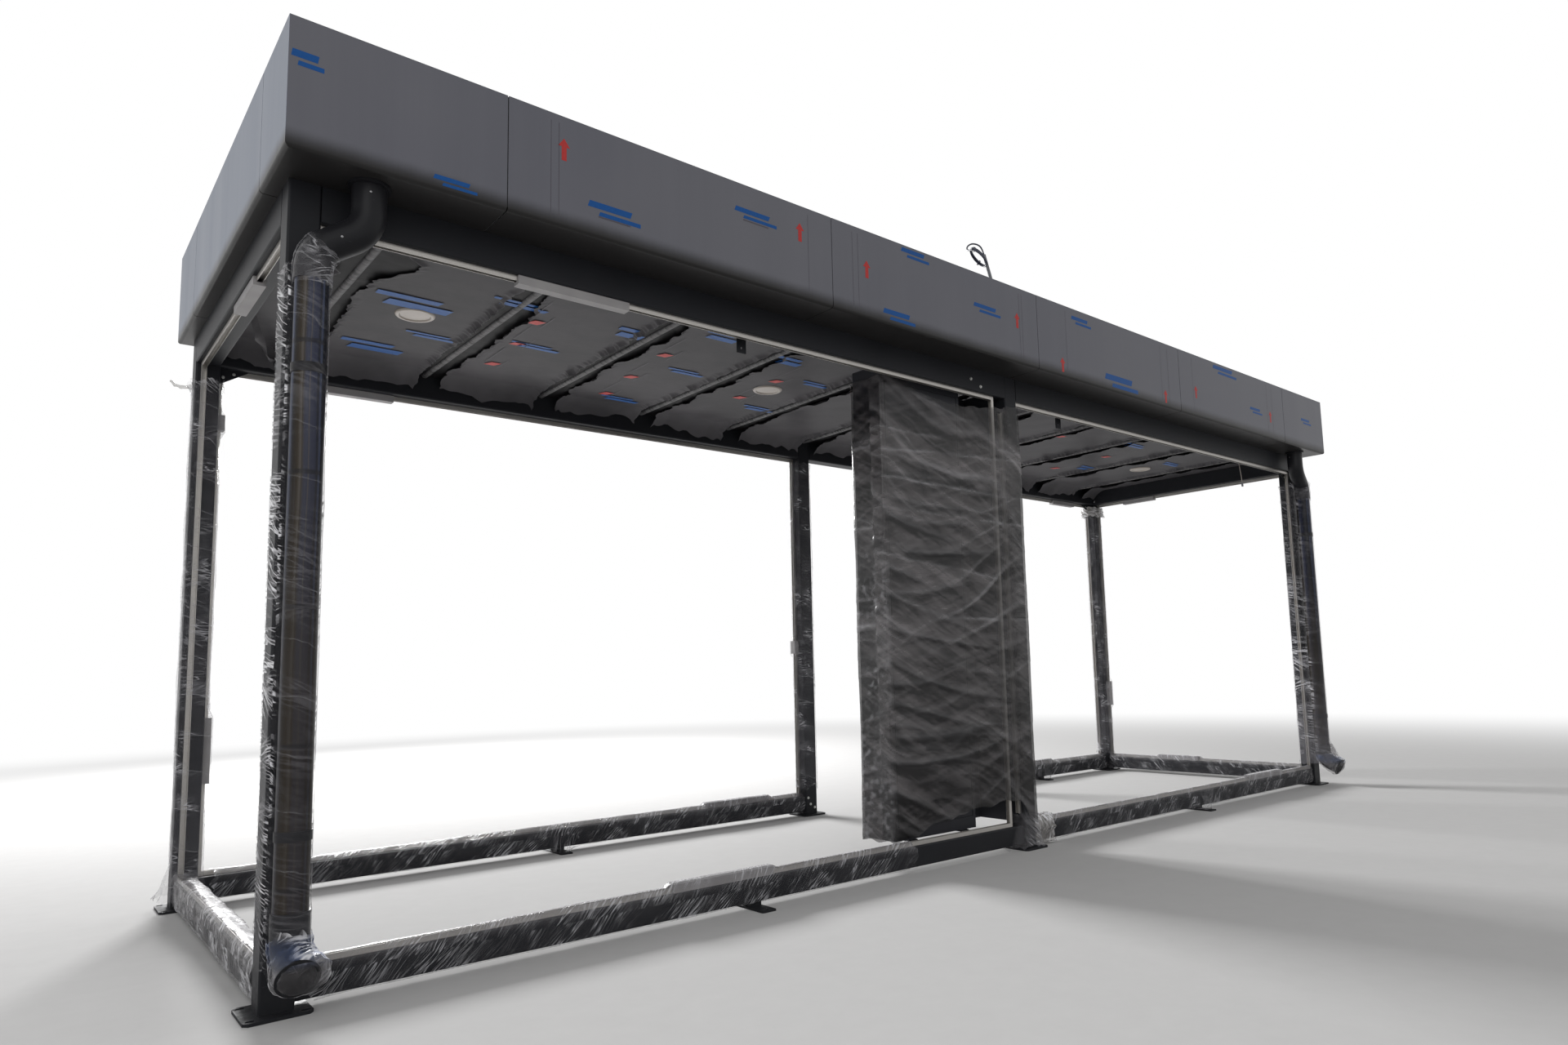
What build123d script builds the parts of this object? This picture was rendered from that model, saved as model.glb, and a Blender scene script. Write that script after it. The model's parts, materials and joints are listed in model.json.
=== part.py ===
from build123d import *
import os
from math import atan2, copysign, cos, pi, radians, sin, sqrt, tan

# Bus shelter frame with a cassette roof, set up but not yet glazed. Millimetres, +Z up.
# +X runs along the shelter, -Y is the rear with the downpipes and +Y is the open road side.
# The origin is on the ground, under the middle of the roof.

os.makedirs("parts", exist_ok=True)

# Steel frame
frame_length = 7400.0
frame_depth = 1960.0
post_size = 100.0
post_wall = 4.0
tube_corner = 8.0
beam_below_soffit = 126.0
beam_height = 180.0
beam_width = 100.0
rail_bottom = 28.0
rail_height = 100.0
rail_width = 80.0
entrance_width = 1500.0

# Base plates and levelling feet
plate_size = 190.0
plate_thickness = 10.0
plate_corner = 14.0
slot_spacing = 150.0
slot_width = 14.0
slot_length = 26.0
foot_length = 250.0
foot_width = 72.0
foot_plate = 8.0
foot_block = 56.0
foot_hole = 12.0

# Roof edge in folded composite cassettes
soffit_height = 2626.0
fascia_height = 429.0
overhang_rear = 210.0
overhang_road = 80.0
overhang_end = 55.0
panel_thickness = 4.0
fold_radius = 14.0
top_return = 34.0
seam_gap = 4.0
corner_length = 700.0
long_panels = 4
corner_depth_rear = 380.0
corner_depth_road = 468.0
edge_tube = 40.0
edge_tube_wall = 2.5

# Roof deck and gutter
deck_low = 50.0
deck_high = 92.0
deck_lip = 22.0
rib_count = 20
rib_width = 22.0
rib_height = 26.0
gutter_wall = 2.0
gutter_height = 112.0

# Ceiling
ceiling_end_panel = 280.0
ceiling_joints = 11
ceiling_joint_gap = 12.0
ceiling_edge_gap = 2.0
joist_width = 60.0
joist_wall = 2.5
strip_width = 34.0
strip_drop = 13.0
light_diameter = 172.0
light_body = 146.0
light_body_height = 46.0
light_drop = 11.0
light_clearance = 1.5
light_recess = 5.0
light_panel_step = 3

# Downpipes with swan necks
pipe_diameter = 100.0
pipe_wall = 1.5
fitting_wall = 4.5
pipe_from_post = 12.0
pipe_from_end = 65.0
fit_clearance = 0.3
outlet_from_end = 222.0
outlet_offset = 91.0
outlet_collar = 134.0
outlet_collar_drop = 10.0
outlet_flange = 126.0
neck_upper_drop = 156.0
neck_lower_drop = 256.0
neck_radius = 112.0
neck_overlap = 40.0
shoe_bend = 200.0
shoe_reach = 119.0
shoe_angle = 25.0
shoe_radius = 108.0
shoe_overlap = 45.0
shoe_lip = 7.0
shoe_lip_width = 7.0
bracket_heights = (520.0, 1960.0)
bracket_height = 30.0
bracket_thickness = 3.0
bracket_pad = 44.0

# Aluminium glazing channels, packing and corner plates
channel_width = 22.0
channel_height = 20.0
channel_wall = 2.0
glazing_setback = 32.0
end_post_gap = 80.0
block_width = 44.0
block_height = 34.0
block_groove = 0.5
# Each packing block: how far its middle lies from a corner of its bay, and its length
rear_rail_near_block = (1590.0, 500.0)
rear_rail_far_block = (785.0, 500.0)
road_rail_near_block = (587.0, 500.0)
road_rail_far_block = (1000.0, 400.0)
end_rail_block = (683.0, 370.0)
rear_beam_block = (917.0, 470.0)
road_beam_near_block = (632.0, 340.0)
road_beam_far_block = (410.0, 330.0)
left_beam_block = (690.0, 380.0)
right_beam_block = (447.0, 312.0)
left_post_low_block = (562.0, 300.0)
left_post_high_block = (262.5, 75.0)
middle_post_block = (1026.0, 88.0)
road_post_block = (582.0, 220.0)
post_channel_bottom = 190.0
post_channel_below_beam = 80.0
gusset_reach = 125.0
gusset_drop = 78.0
gusset_thickness = 6.0
gusset_hole = 9.0
tab_width = 50.0
tab_thickness = 5.0
tab_drop = 62.0
tab_lap_height = 90.0
tab_hole = 11.0
tab_first = 1880.0
tab_pitch = 2412.0

# Cabinet behind the rear glazing
cabinet_width = 606.0
cabinet_depth = 217.0
cabinet_bottom = 143.0
cabinet_lap_height = 60.0
cabinet_from_middle = 282.0
cabinet_corner = 6.0
cabinet_plinth = 60.0
cabinet_door_inset = 24.0
cabinet_door_step = 5.0
cabinet_door_gap = 5.0
cabinet_foot_length = 60.0
cabinet_foot_inset = 110.0
z_bracket_wall = 6.0
z_bracket_seat = 40.0
niche_thickness = 3.0

# Supply conduit, cable and lead
conduit_x = 0.0
conduit_from_face = 95.0
conduit_diameter = 20.0
conduit_wall = 2.0
conduit_cap = 10.0
conduit_rise = 498.0
conduit_tip = 165.0
conduit_lean = 22.0
conduit_bend = 180.0
conduit_plate = 90.0
conduit_corner = 8.0
conduit_plate_thickness = 3.0
cable_diameter = 9.0
cable_first_run = 38.0
cable_lead_in = 20.0
cable_hump = ((-34.2, 14.0, 59.0), (-66.2, 36.0, 63.0), (-93.2, 46.0, 41.0), (-107.2, 36.0, 13.0))
cord_arc_share = 0.45
coil_from_mouth = (-83.2, -29.0, -49.0)
coil_high_side = (-0.65, 0.33, 0.68)
coil_axis = (0.51, -0.47, 0.72)
coil_radius = 66.0
coil_thickness = 24.0
coil_sweep = 290.0
lead_from_end = 726.0
lead_from_beam = 25.0
lead_drop = 244.0
lead_sway = 36.0
lead_shape = ((0.0, 0.0), (0.0, 0.18), (0.17, 0.40), (0.56, 0.64), (0.89, 0.84), (1.0, 1.0))
lead_diameter = 5.0
lead_gland_size = 18.0
lead_gland_height = 12.0
lead_gland_fillet = 2.0
connector_diameter = 15.0
connector_length = 34.0
connector_fillet = 2.5

# Places that follow from the sizes above
roof_top = soffit_height + fascia_height
ceiling_top = soffit_height + panel_thickness
beam_bottom = soffit_height - beam_below_soffit
beam_top = beam_bottom + beam_height
joist_height = beam_top - ceiling_top
rail_top = rail_bottom + rail_height
left_end = -frame_length / 2
right_end = frame_length / 2
roof_length = frame_length + 2 * overhang_end
roof_depth = frame_depth + overhang_rear + overhang_road
rear_face = -roof_depth / 2 + overhang_rear
road_face = rear_face + frame_depth
inner_rear = rear_face + post_size
inner_road = road_face - post_size
post_x = (left_end + post_size / 2, 0.0, right_end - post_size / 2)
rear_row = rear_face + post_size / 2
road_row = road_face - post_size / 2
door_post_x = post_size / 2 + entrance_width + post_size / 2
posts = {
    "post_rear_left": (post_x[0], rear_row),
    "post_rear_middle": (post_x[1], rear_row),
    "post_rear_right": (post_x[2], rear_row),
    "post_road_left": (post_x[0], road_row),
    "post_road_middle": (post_x[1], road_row),
    "post_road_door": (door_post_x, road_row),
    "post_road_right": (post_x[2], road_row),
}


def tube_section(width, height, wall):
    """Draws a hollow rectangular section with rounded corners in the active sketch."""
    RectangleRounded(width, height, tube_corner)
    RectangleRounded(width - 2 * wall, height - 2 * wall, tube_corner - wall, mode=Mode.SUBTRACT)


def tube_along_x(start, end, y, bottom, width, height, wall):
    """Adds a hollow section that runs along X between two places."""
    with BuildSketch(Plane.YZ.offset(start)) as section:
        with Locations((y, bottom + height / 2)):
            tube_section(width, height, wall)
    extrude(section.sketch, amount=end - start)


def tube_along_y(start, end, x, bottom, width, height, wall):
    """Adds a hollow section that runs along Y between two places."""
    with BuildSketch(Plane.XZ.offset(-start)) as section:
        with Locations((x, bottom + height / 2)):
            tube_section(width, height, wall)
    extrude(section.sketch, amount=-(end - start))


# Posts, each a square hollow section standing on its base plate
for post_name, post_place in posts.items():
    with BuildPart() as post:
        with BuildSketch(Plane.XY.offset(plate_thickness)):
            with Locations(post_place):
                tube_section(post_size, post_size, post_wall)
        extrude(amount=beam_top - plate_thickness)
    post.part.label = post_name
    export_step(post.part, f"parts/{post_name}.step")

# Base plates with clipped corners and four slots that run along the shelter
with BuildPart() as base_plates:
    with BuildSketch() as plate_outline:
        with Locations(*posts.values()):
            Rectangle(plate_size, plate_size)
        chamfer(plate_outline.vertices(), plate_corner)
        with Locations(*posts.values()):
            with GridLocations(slot_spacing, slot_spacing, 2, 2):
                SlotOverall(slot_length, slot_width, mode=Mode.SUBTRACT)
    extrude(amount=plate_thickness)
base_plates.part.label = "base_plates"
export_step(base_plates.part, "parts/base_plates.step")

# Bottom rails between the posts; the entrance has none
bay_inner = post_size / 2
rail_tube = (rail_bottom, rail_width, rail_height, post_wall)
with BuildPart() as rail_rear:
    tube_along_x(left_end + post_size, -bay_inner, rear_row, *rail_tube)
    tube_along_x(bay_inner, right_end - post_size, rear_row, *rail_tube)
rail_rear.part.label = "rail_rear"
export_step(rail_rear.part, "parts/rail_rear.step")

door_post_right = door_post_x + post_size / 2
with BuildPart() as rail_road:
    tube_along_x(left_end + post_size, -bay_inner, road_row, *rail_tube)
    tube_along_x(door_post_right, right_end - post_size, road_row, *rail_tube)
rail_road.part.label = "rail_road"
export_step(rail_road.part, "parts/rail_road.step")

with BuildPart() as rail_ends:
    for x in (post_x[0], post_x[2]):
        tube_along_y(inner_rear, inner_road, x, *rail_tube)
rail_ends.part.label = "rail_ends"
export_step(rail_ends.part, "parts/rail_ends.step")

# Levelling feet across the long rails, each a plate with a block up to the rail
short_bay_middle = (door_post_right + right_end - post_size) / 2
feet = (
    (left_end / 2, rear_row),
    (right_end / 2, rear_row),
    (left_end / 2, road_row),
    (short_bay_middle, road_row),
)
with BuildPart() as rail_feet:
    with BuildSketch():
        with Locations(*feet):
            RectangleRounded(foot_width, foot_length, foot_plate)
            with GridLocations(0, foot_length - 3 * foot_hole, 1, 2):
                Circle(foot_hole / 2, mode=Mode.SUBTRACT)
    extrude(amount=foot_plate)
    with BuildSketch(Plane.XY.offset(foot_plate)):
        with Locations(*feet):
            Rectangle(foot_block, foot_block)
    extrude(amount=rail_bottom - foot_plate)
rail_feet.part.label = "rail_feet"
export_step(rail_feet.part, "parts/rail_feet.step")

# Roof beams between the post heads
beam_tube = (beam_bottom, beam_width, beam_height, post_wall)
with BuildPart() as beam_rear:
    tube_along_x(left_end + post_size, -bay_inner, rear_row, *beam_tube)
    tube_along_x(bay_inner, right_end - post_size, rear_row, *beam_tube)
beam_rear.part.label = "beam_rear"
export_step(beam_rear.part, "parts/beam_rear.step")

with BuildPart() as beam_road:
    tube_along_x(left_end + post_size, -bay_inner, road_row, *beam_tube)
    tube_along_x(bay_inner, door_post_x - bay_inner, road_row, *beam_tube)
    tube_along_x(door_post_right, right_end - post_size, road_row, *beam_tube)
beam_road.part.label = "beam_road"
export_step(beam_road.part, "parts/beam_road.step")

with BuildPart() as beam_ends:
    for x in (post_x[0], post_x[2]):
        tube_along_y(inner_rear, inner_road, x, *beam_tube)
beam_ends.part.label = "beam_ends"
export_step(beam_ends.part, "parts/beam_ends.step")

# Triangular corner plates under the long beams, against the corner posts
with BuildPart() as corner_gussets:
    for row in (rear_row, road_row):
        for inner_x, inward in ((left_end + post_size, 1), (right_end - post_size, -1)):
            with BuildSketch(Plane.XZ.offset(-row)):
                with BuildLine():
                    Polyline(
                        (inner_x, beam_bottom),
                        (inner_x + inward * gusset_reach, beam_bottom),
                        (inner_x, beam_bottom - gusset_drop),
                        close=True,
                    )
                make_face()
                with Locations(
                    (inner_x + inward * gusset_reach / 2, beam_bottom - 2 * gusset_hole),
                    (inner_x + inward * 2 * gusset_hole, beam_bottom - gusset_drop / 2),
                ):
                    Circle(gusset_hole / 2, mode=Mode.SUBTRACT)
            extrude(amount=gusset_thickness / 2, both=True)
corner_gussets.part.label = "corner_gussets"
export_step(corner_gussets.part, "parts/corner_gussets.step")

# Cross joists above the ceiling, one at every ceiling joint
ceiling_pitch = (frame_length - 2 * post_size - 2 * ceiling_end_panel) / (ceiling_joints - 1)
joint_places = [ceiling_pitch * (i - (ceiling_joints - 1) / 2) for i in range(ceiling_joints)]
with BuildPart() as ceiling_joists:
    for joint_x in joint_places:
        tube_along_y(inner_rear, inner_road, joint_x, ceiling_top, joist_width, joist_height, joist_wall)
ceiling_joists.part.label = "ceiling_joists"
export_step(ceiling_joists.part, "parts/ceiling_joists.step")

# Ceiling panels between the joints, with round cut-outs for the lights
ceiling_start = left_end + post_size + ceiling_edge_gap
ceiling_end = right_end - post_size - ceiling_edge_gap
panel_edges = [ceiling_start - ceiling_joint_gap / 2, *joint_places, ceiling_end + ceiling_joint_gap / 2]
ceiling_middle = (inner_rear + inner_road) / 2
ceiling_depth = inner_road - inner_rear - 2 * ceiling_edge_gap
light_places = [
    (joint_places[i] + ceiling_pitch / 2, ceiling_middle)
    for i in range(0, ceiling_joints - 1, light_panel_step)
]
with BuildPart() as ceiling_panels:
    with BuildSketch(Plane.XY.offset(soffit_height)):
        for panel_start, panel_end in zip(panel_edges, panel_edges[1:]):
            with Locations(((panel_start + panel_end) / 2, ceiling_middle)):
                Rectangle(panel_end - panel_start - ceiling_joint_gap, ceiling_depth)
        with Locations(*light_places):
            Circle(light_body / 2 + light_clearance, mode=Mode.SUBTRACT)
    extrude(amount=panel_thickness)
ceiling_panels.part.label = "ceiling_panels"
export_step(ceiling_panels.part, "parts/ceiling_panels.step")

# Rounded joint strips pressed up between the panels against the joists
stem_width = ceiling_joint_gap - 2 * fit_clearance
with BuildPart() as ceiling_strips:
    for joint_x in joint_places:
        with BuildSketch(Plane.XZ.offset(-(inner_rear + ceiling_edge_gap))):
            with Locations((joint_x, soffit_height)):
                Ellipse(strip_width / 2, strip_drop)
                with Locations((0, strip_drop)):
                    Rectangle(strip_width, 2 * strip_drop, mode=Mode.SUBTRACT)
                with Locations((0, panel_thickness / 2)):
                    Rectangle(stem_width, panel_thickness)
        extrude(amount=-ceiling_depth)
ceiling_strips.part.label = "ceiling_strips"
export_step(ceiling_strips.part, "parts/ceiling_strips.step")

# Round downlights with a domed rim under the panel and a body above it
with BuildPart() as ceiling_lights:
    with BuildSketch(Plane.XZ) as light_profile:
        with BuildLine():
            rim_foot = (light_diameter / 2, soffit_height)
            rim_edge = (light_diameter / 2 - light_drop, soffit_height - light_drop)
            lens_edge = (light_body / 2 - light_recess, soffit_height - light_drop)
            lens_back = (light_body / 2 - 2 * light_recess, soffit_height - light_drop + light_recess)
            Polyline(
                (0, soffit_height + light_body_height),
                (light_body / 2, soffit_height + light_body_height),
                (light_body / 2, soffit_height),
                rim_foot,
            )
            RadiusArc(rim_foot, rim_edge, light_drop)
            Polyline(
                rim_edge,
                lens_edge,
                lens_back,
                (0, soffit_height - light_drop + light_recess),
                (0, soffit_height + light_body_height),
            )
        make_face()
    with Locations(*light_places):
        light = revolve(light_profile.sketch, axis=Axis.Z, mode=Mode.PRIVATE)
        add(light)
ceiling_lights.part.label = "ceiling_lights"
export_step(ceiling_lights.part, "parts/ceiling_lights.step")

# Roof edge: a folded tray of vertical face, rounded fold, soffit and top return, cut at the seams
roof_left = -roof_length / 2
roof_rear = -roof_depth / 2
tray_length = roof_length - 2 * panel_thickness
tray_depth = roof_depth - 2 * panel_thickness
outlet_y = rear_face - outlet_offset
outlet_places = [(end - copysign(outlet_from_end, end), outlet_y) for end in (left_end, right_end)]
fitting_diameter = pipe_diameter + 2 * (fitting_wall + fit_clearance)
fitting_bore = fitting_diameter - 2 * fitting_wall
outlet_hole = fitting_diameter / 2 + fit_clearance
with BuildPart() as tray_hollow:
    with BuildSketch(Plane.XY.offset(ceiling_top)):
        Rectangle(tray_length, tray_depth)
    extrude(amount=fascia_height - 2 * panel_thickness)
    fillet(tray_hollow.faces().sort_by(Axis.Z)[0].edges(), fold_radius - panel_thickness)
with BuildPart() as roof_edge:
    with BuildSketch(Plane.XY.offset(soffit_height)):
        Rectangle(roof_length, roof_depth)
    extrude(amount=fascia_height)
    fillet(roof_edge.faces().sort_by(Axis.Z)[0].edges(), fold_radius)
    add(tray_hollow.part, mode=Mode.SUBTRACT)
    with BuildSketch(Plane.XY.offset(roof_top)):
        Rectangle(roof_length - 2 * top_return, roof_depth - 2 * top_return)
    extrude(amount=-2 * panel_thickness, mode=Mode.SUBTRACT)
    with BuildSketch(Plane.XY.offset(soffit_height)):
        with Locations((0, (rear_face + road_face) / 2)):
            Rectangle(frame_length, frame_depth)
        with Locations(*outlet_places):
            Circle(outlet_hole)
    extrude(amount=panel_thickness, mode=Mode.SUBTRACT)


def cassette(x_start, x_end, y_start, y_end):
    """Adds the block that picks one cassette out of the folded tray."""
    with Locations(((x_start + x_end) / 2, (y_start + y_end) / 2, soffit_height)):
        Box(
            x_end - x_start - seam_gap,
            y_end - y_start - seam_gap,
            fascia_height,
            align=(Align.CENTER, Align.CENTER, Align.MIN),
        )


first_seam = roof_left + corner_length
long_pitch = (roof_length - 2 * corner_length) / long_panels
rear_seam = roof_rear + corner_depth_rear
road_seam = -roof_rear - corner_depth_road
outside = seam_gap / 2
with BuildPart() as fascia_rear:
    for i in range(long_panels):
        seam = first_seam + i * long_pitch
        cassette(seam, seam + long_pitch, roof_rear - outside, rear_face + outside)
    add(roof_edge.part, mode=Mode.INTERSECT)
fascia_rear.part.label = "fascia_rear"
export_step(fascia_rear.part, "parts/fascia_rear.step")

with BuildPart() as fascia_road:
    for i in range(long_panels):
        seam = first_seam + i * long_pitch
        cassette(seam, seam + long_pitch, road_face - outside, -roof_rear + outside)
    add(roof_edge.part, mode=Mode.INTERSECT)
fascia_road.part.label = "fascia_road"
export_step(fascia_road.part, "parts/fascia_road.step")

with BuildPart() as fascia_ends:
    cassette(roof_left - outside, left_end + outside, rear_seam, road_seam)
    cassette(right_end - outside, -roof_left + outside, rear_seam, road_seam)
    add(roof_edge.part, mode=Mode.INTERSECT)
fascia_ends.part.label = "fascia_ends"
export_step(fascia_ends.part, "parts/fascia_ends.step")

with BuildPart() as fascia_corners:
    for x_start, x_end in ((roof_left - outside, first_seam), (-first_seam, -roof_left + outside)):
        cassette(x_start, x_end, roof_rear - outside, rear_seam)
        cassette(x_start, x_end, road_seam, -roof_rear + outside)
    add(roof_edge.part, mode=Mode.INTERSECT)
fascia_corners.part.label = "fascia_corners"
export_step(fascia_corners.part, "parts/fascia_corners.step")

# Light frame behind the cassettes: top tubes under the top return, on uprights at the seams
ring_bottom = roof_top - panel_thickness - edge_tube
upright_bottom = soffit_height + fold_radius
upright_height = ring_bottom - upright_bottom
frame_row = tray_depth / 2 - edge_tube / 2
frame_column = tray_length / 2 - edge_tube / 2
upright_places = [first_seam + i * long_pitch for i in range(long_panels + 1)]


def square_tube(length):
    """Adds a closed square tube along X at the active place."""
    Box(length, edge_tube, edge_tube)
    inside = edge_tube - 2 * edge_tube_wall
    Box(length - 2 * edge_tube_wall, inside, inside, mode=Mode.SUBTRACT)


with BuildPart() as edge_frame_long:
    for row in (-frame_row, frame_row):
        with Locations((0, row, ring_bottom + edge_tube / 2)):
            square_tube(tray_length)
        with Locations(*[(x, row, upright_bottom + upright_height / 2) for x in upright_places]):
            Box(edge_tube, edge_tube, upright_height)
edge_frame_long.part.label = "edge_frame_long"
export_step(edge_frame_long.part, "parts/edge_frame_long.step")

with BuildPart() as edge_frame_ends:
    for column in (-frame_column, frame_column):
        with Locations(Location((column, 0, ring_bottom + edge_tube / 2), (0, 0, 90))):
            square_tube(tray_depth - 2 * edge_tube)
        with Locations(*[(column, y, upright_bottom + upright_height / 2) for y in (rear_seam, road_seam)]):
            Box(edge_tube, edge_tube, upright_height)
edge_frame_ends.part.label = "edge_frame_ends"
export_step(edge_frame_ends.part, "parts/edge_frame_ends.step")

# Box gutter along the rear, on the soffit, with a hole over each downpipe
gutter_width = overhang_rear - panel_thickness - edge_tube
gutter_middle = rear_face - gutter_width / 2
with BuildPart() as gutter:
    with BuildSketch(Plane.XY.offset(ceiling_top)):
        with Locations((0, gutter_middle)):
            Rectangle(frame_length, gutter_width)
    extrude(amount=gutter_height)
    with BuildSketch(Plane.XY.offset(ceiling_top + gutter_wall)):
        with Locations((0, gutter_middle)):
            Rectangle(frame_length - 2 * gutter_wall, gutter_width - 2 * gutter_wall)
    extrude(amount=gutter_height, mode=Mode.SUBTRACT)
    with BuildSketch(Plane.XY.offset(beam_top)):
        with Locations((0, rear_face - gutter_wall)):
            Rectangle(frame_length, 2 * (deck_lip + gutter_wall))
    extrude(amount=gutter_height, mode=Mode.SUBTRACT)
    with BuildSketch(Plane.XY.offset(ceiling_top)):
        with Locations(*outlet_places):
            Circle(outlet_hole)
    extrude(amount=gutter_wall, mode=Mode.SUBTRACT)
gutter.part.label = "gutter"
export_step(gutter.part, "parts/gutter.step")

# Insulated roof deck that falls to the gutter, with standing ribs
deck_length = tray_length - 2 * edge_tube
deck_rear = rear_face - deck_lip
deck_road = tray_depth / 2 - edge_tube
deck_fall = (deck_high - deck_low) / (deck_road - deck_rear)
rib_pitch = deck_length / rib_count


def deck_height(y):
    """Gives the height of the deck's upper face at a place across the roof."""
    return beam_top + deck_low + deck_fall * (y - deck_rear)


with BuildPart() as roof_deck:
    with BuildSketch(Plane.YZ.offset(-deck_length / 2)):
        with BuildLine():
            Polyline(
                (deck_rear, beam_top),
                (deck_road, beam_top),
                (deck_road, deck_height(deck_road)),
                (deck_rear, deck_height(deck_rear)),
                close=True,
            )
        make_face()
    extrude(amount=deck_length)
    for i in range(rib_count):
        rib_x = rib_pitch * (i - (rib_count - 1) / 2)
        with BuildSketch(Plane.YZ.offset(rib_x - rib_width / 2)):
            with BuildLine():
                Polyline(
                    (deck_rear, deck_height(deck_rear)),
                    (deck_road, deck_height(deck_road)),
                    (deck_road, deck_height(deck_road) + rib_height),
                    (deck_rear, deck_height(deck_rear) + rib_height),
                    close=True,
                )
            make_face()
        extrude(amount=rib_width)
roof_deck.part.label = "roof_deck"
export_step(roof_deck.part, "parts/roof_deck.step")

# Downpipes: a swan neck from the soffit outlet, a straight pipe and a shoe that throws clear.
# Neck and shoe are fittings whose sockets go over the ends of the pipe.
pipe_y = rear_face - pipe_from_post - pipe_diameter / 2
neck_top = ceiling_top + 2 * gutter_wall
neck_run = sqrt((outlet_from_end - pipe_from_end) ** 2 + (outlet_y - pipe_y) ** 2)
neck_upper_bend = soffit_height - neck_upper_drop
neck_lower_bend = soffit_height - neck_lower_drop
neck_turn = pi / 2 - atan2(neck_upper_bend - neck_lower_bend, neck_run)
pipe_top = neck_lower_bend - neck_radius * tan(neck_turn / 2)
shoe_turn = pi / 2 - radians(shoe_angle)
pipe_bottom = shoe_bend + shoe_radius * tan(shoe_turn / 2)
shoe_end_height = shoe_bend - shoe_reach * tan(radians(shoe_angle))


def ring(outer_diameter, bore):
    """Draws the ring of a pipe or fitting in the active sketch."""
    Circle(outer_diameter / 2)
    Circle(bore / 2, mode=Mode.SUBTRACT)


pipe_places = [(end - copysign(pipe_from_end, end), pipe_y) for end in (left_end, right_end)]
with BuildPart() as swan_necks:
    for (outlet_x, _), (pipe_x, _) in zip(outlet_places, pipe_places):
        with BuildLine() as neck_line:
            FilletPolyline(
                (outlet_x, outlet_y, neck_top),
                (outlet_x, outlet_y, neck_upper_bend),
                (pipe_x, pipe_y, neck_lower_bend),
                (pipe_x, pipe_y, pipe_top - neck_overlap),
                radius=neck_radius,
            )
        with BuildSketch(Plane.XY.offset(neck_top)):
            with Locations((outlet_x, outlet_y)):
                ring(fitting_diameter, fitting_bore)
        sweep(path=neck_line.wire())
    with BuildSketch(Plane.XY.offset(soffit_height - outlet_collar_drop)):
        with Locations(*outlet_places):
            ring(outlet_collar, fitting_bore)
    extrude(amount=outlet_collar_drop)
    with BuildSketch(Plane.XY.offset(ceiling_top + gutter_wall)):
        with Locations(*outlet_places):
            ring(outlet_flange, fitting_bore)
    extrude(amount=gutter_wall)
swan_necks.part.label = "swan_necks"
export_step(swan_necks.part, "parts/swan_necks.step")

with BuildPart() as downpipes:
    with BuildSketch(Plane.XY.offset(pipe_bottom)):
        with Locations(*pipe_places):
            ring(pipe_diameter, pipe_diameter - 2 * pipe_wall)
    extrude(amount=pipe_top - pipe_bottom)
downpipes.part.label = "downpipes"
export_step(downpipes.part, "parts/downpipes.step")

with BuildPart() as pipe_shoes:
    for pipe_x, _ in pipe_places:
        with BuildLine() as shoe_line:
            FilletPolyline(
                (pipe_x, pipe_y, pipe_bottom + shoe_overlap),
                (pipe_x, pipe_y, shoe_bend),
                (pipe_x, pipe_y - shoe_reach, shoe_end_height),
                radius=shoe_radius,
            )
        with BuildSketch(Plane.XY.offset(pipe_bottom + shoe_overlap)):
            with Locations((pipe_x, pipe_y)):
                ring(fitting_diameter, fitting_bore)
        sweep(path=shoe_line.wire())
        shoe_mouth = Plane(
            origin=(pipe_x, pipe_y - shoe_reach, shoe_end_height),
            z_dir=(0, cos(radians(shoe_angle)), sin(radians(shoe_angle))),
        )
        with BuildSketch(shoe_mouth):
            ring(fitting_diameter + 2 * shoe_lip, fitting_bore)
        extrude(amount=shoe_lip_width)
pipe_shoes.part.label = "pipe_shoes"
export_step(pipe_shoes.part, "parts/pipe_shoes.step")

# Pipe clips: a band round the pipe on a pad that stands off the post
band_inner = pipe_diameter / 2 + fit_clearance
band_outer = band_inner + bracket_thickness
with BuildPart() as pipe_brackets:
    for height in bracket_heights:
        with BuildSketch(Plane.XY.offset(height)):
            with Locations(*pipe_places):
                Circle(band_outer)
                with Locations((0, (rear_face - pipe_y) / 2)):
                    Rectangle(bracket_pad, rear_face - pipe_y)
                Circle(band_inner, mode=Mode.SUBTRACT)
        extrude(amount=bracket_height)
pipe_brackets.part.label = "pipe_brackets"
export_step(pipe_brackets.part, "parts/pipe_brackets.step")

# Aluminium channels round each bay that will be glazed, open towards the glass
bay_bottom = rail_top
bay_top = beam_bottom
bay_height = bay_top - bay_bottom
bay_middle = (bay_top + bay_bottom) / 2
rear_glass = rear_face + glazing_setback
road_glass = road_face - glazing_setback


def channel_frame(width):
    """Adds a frame of channel round an opening, in the active part and place."""
    Box(width, channel_width, bay_height)
    Box(width - 2 * channel_height, channel_width, bay_height - 2 * channel_height, mode=Mode.SUBTRACT)
    slot = channel_width - 2 * channel_wall
    Box(width - 2 * channel_wall, slot, bay_height - 2 * channel_wall, mode=Mode.SUBTRACT)


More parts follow.
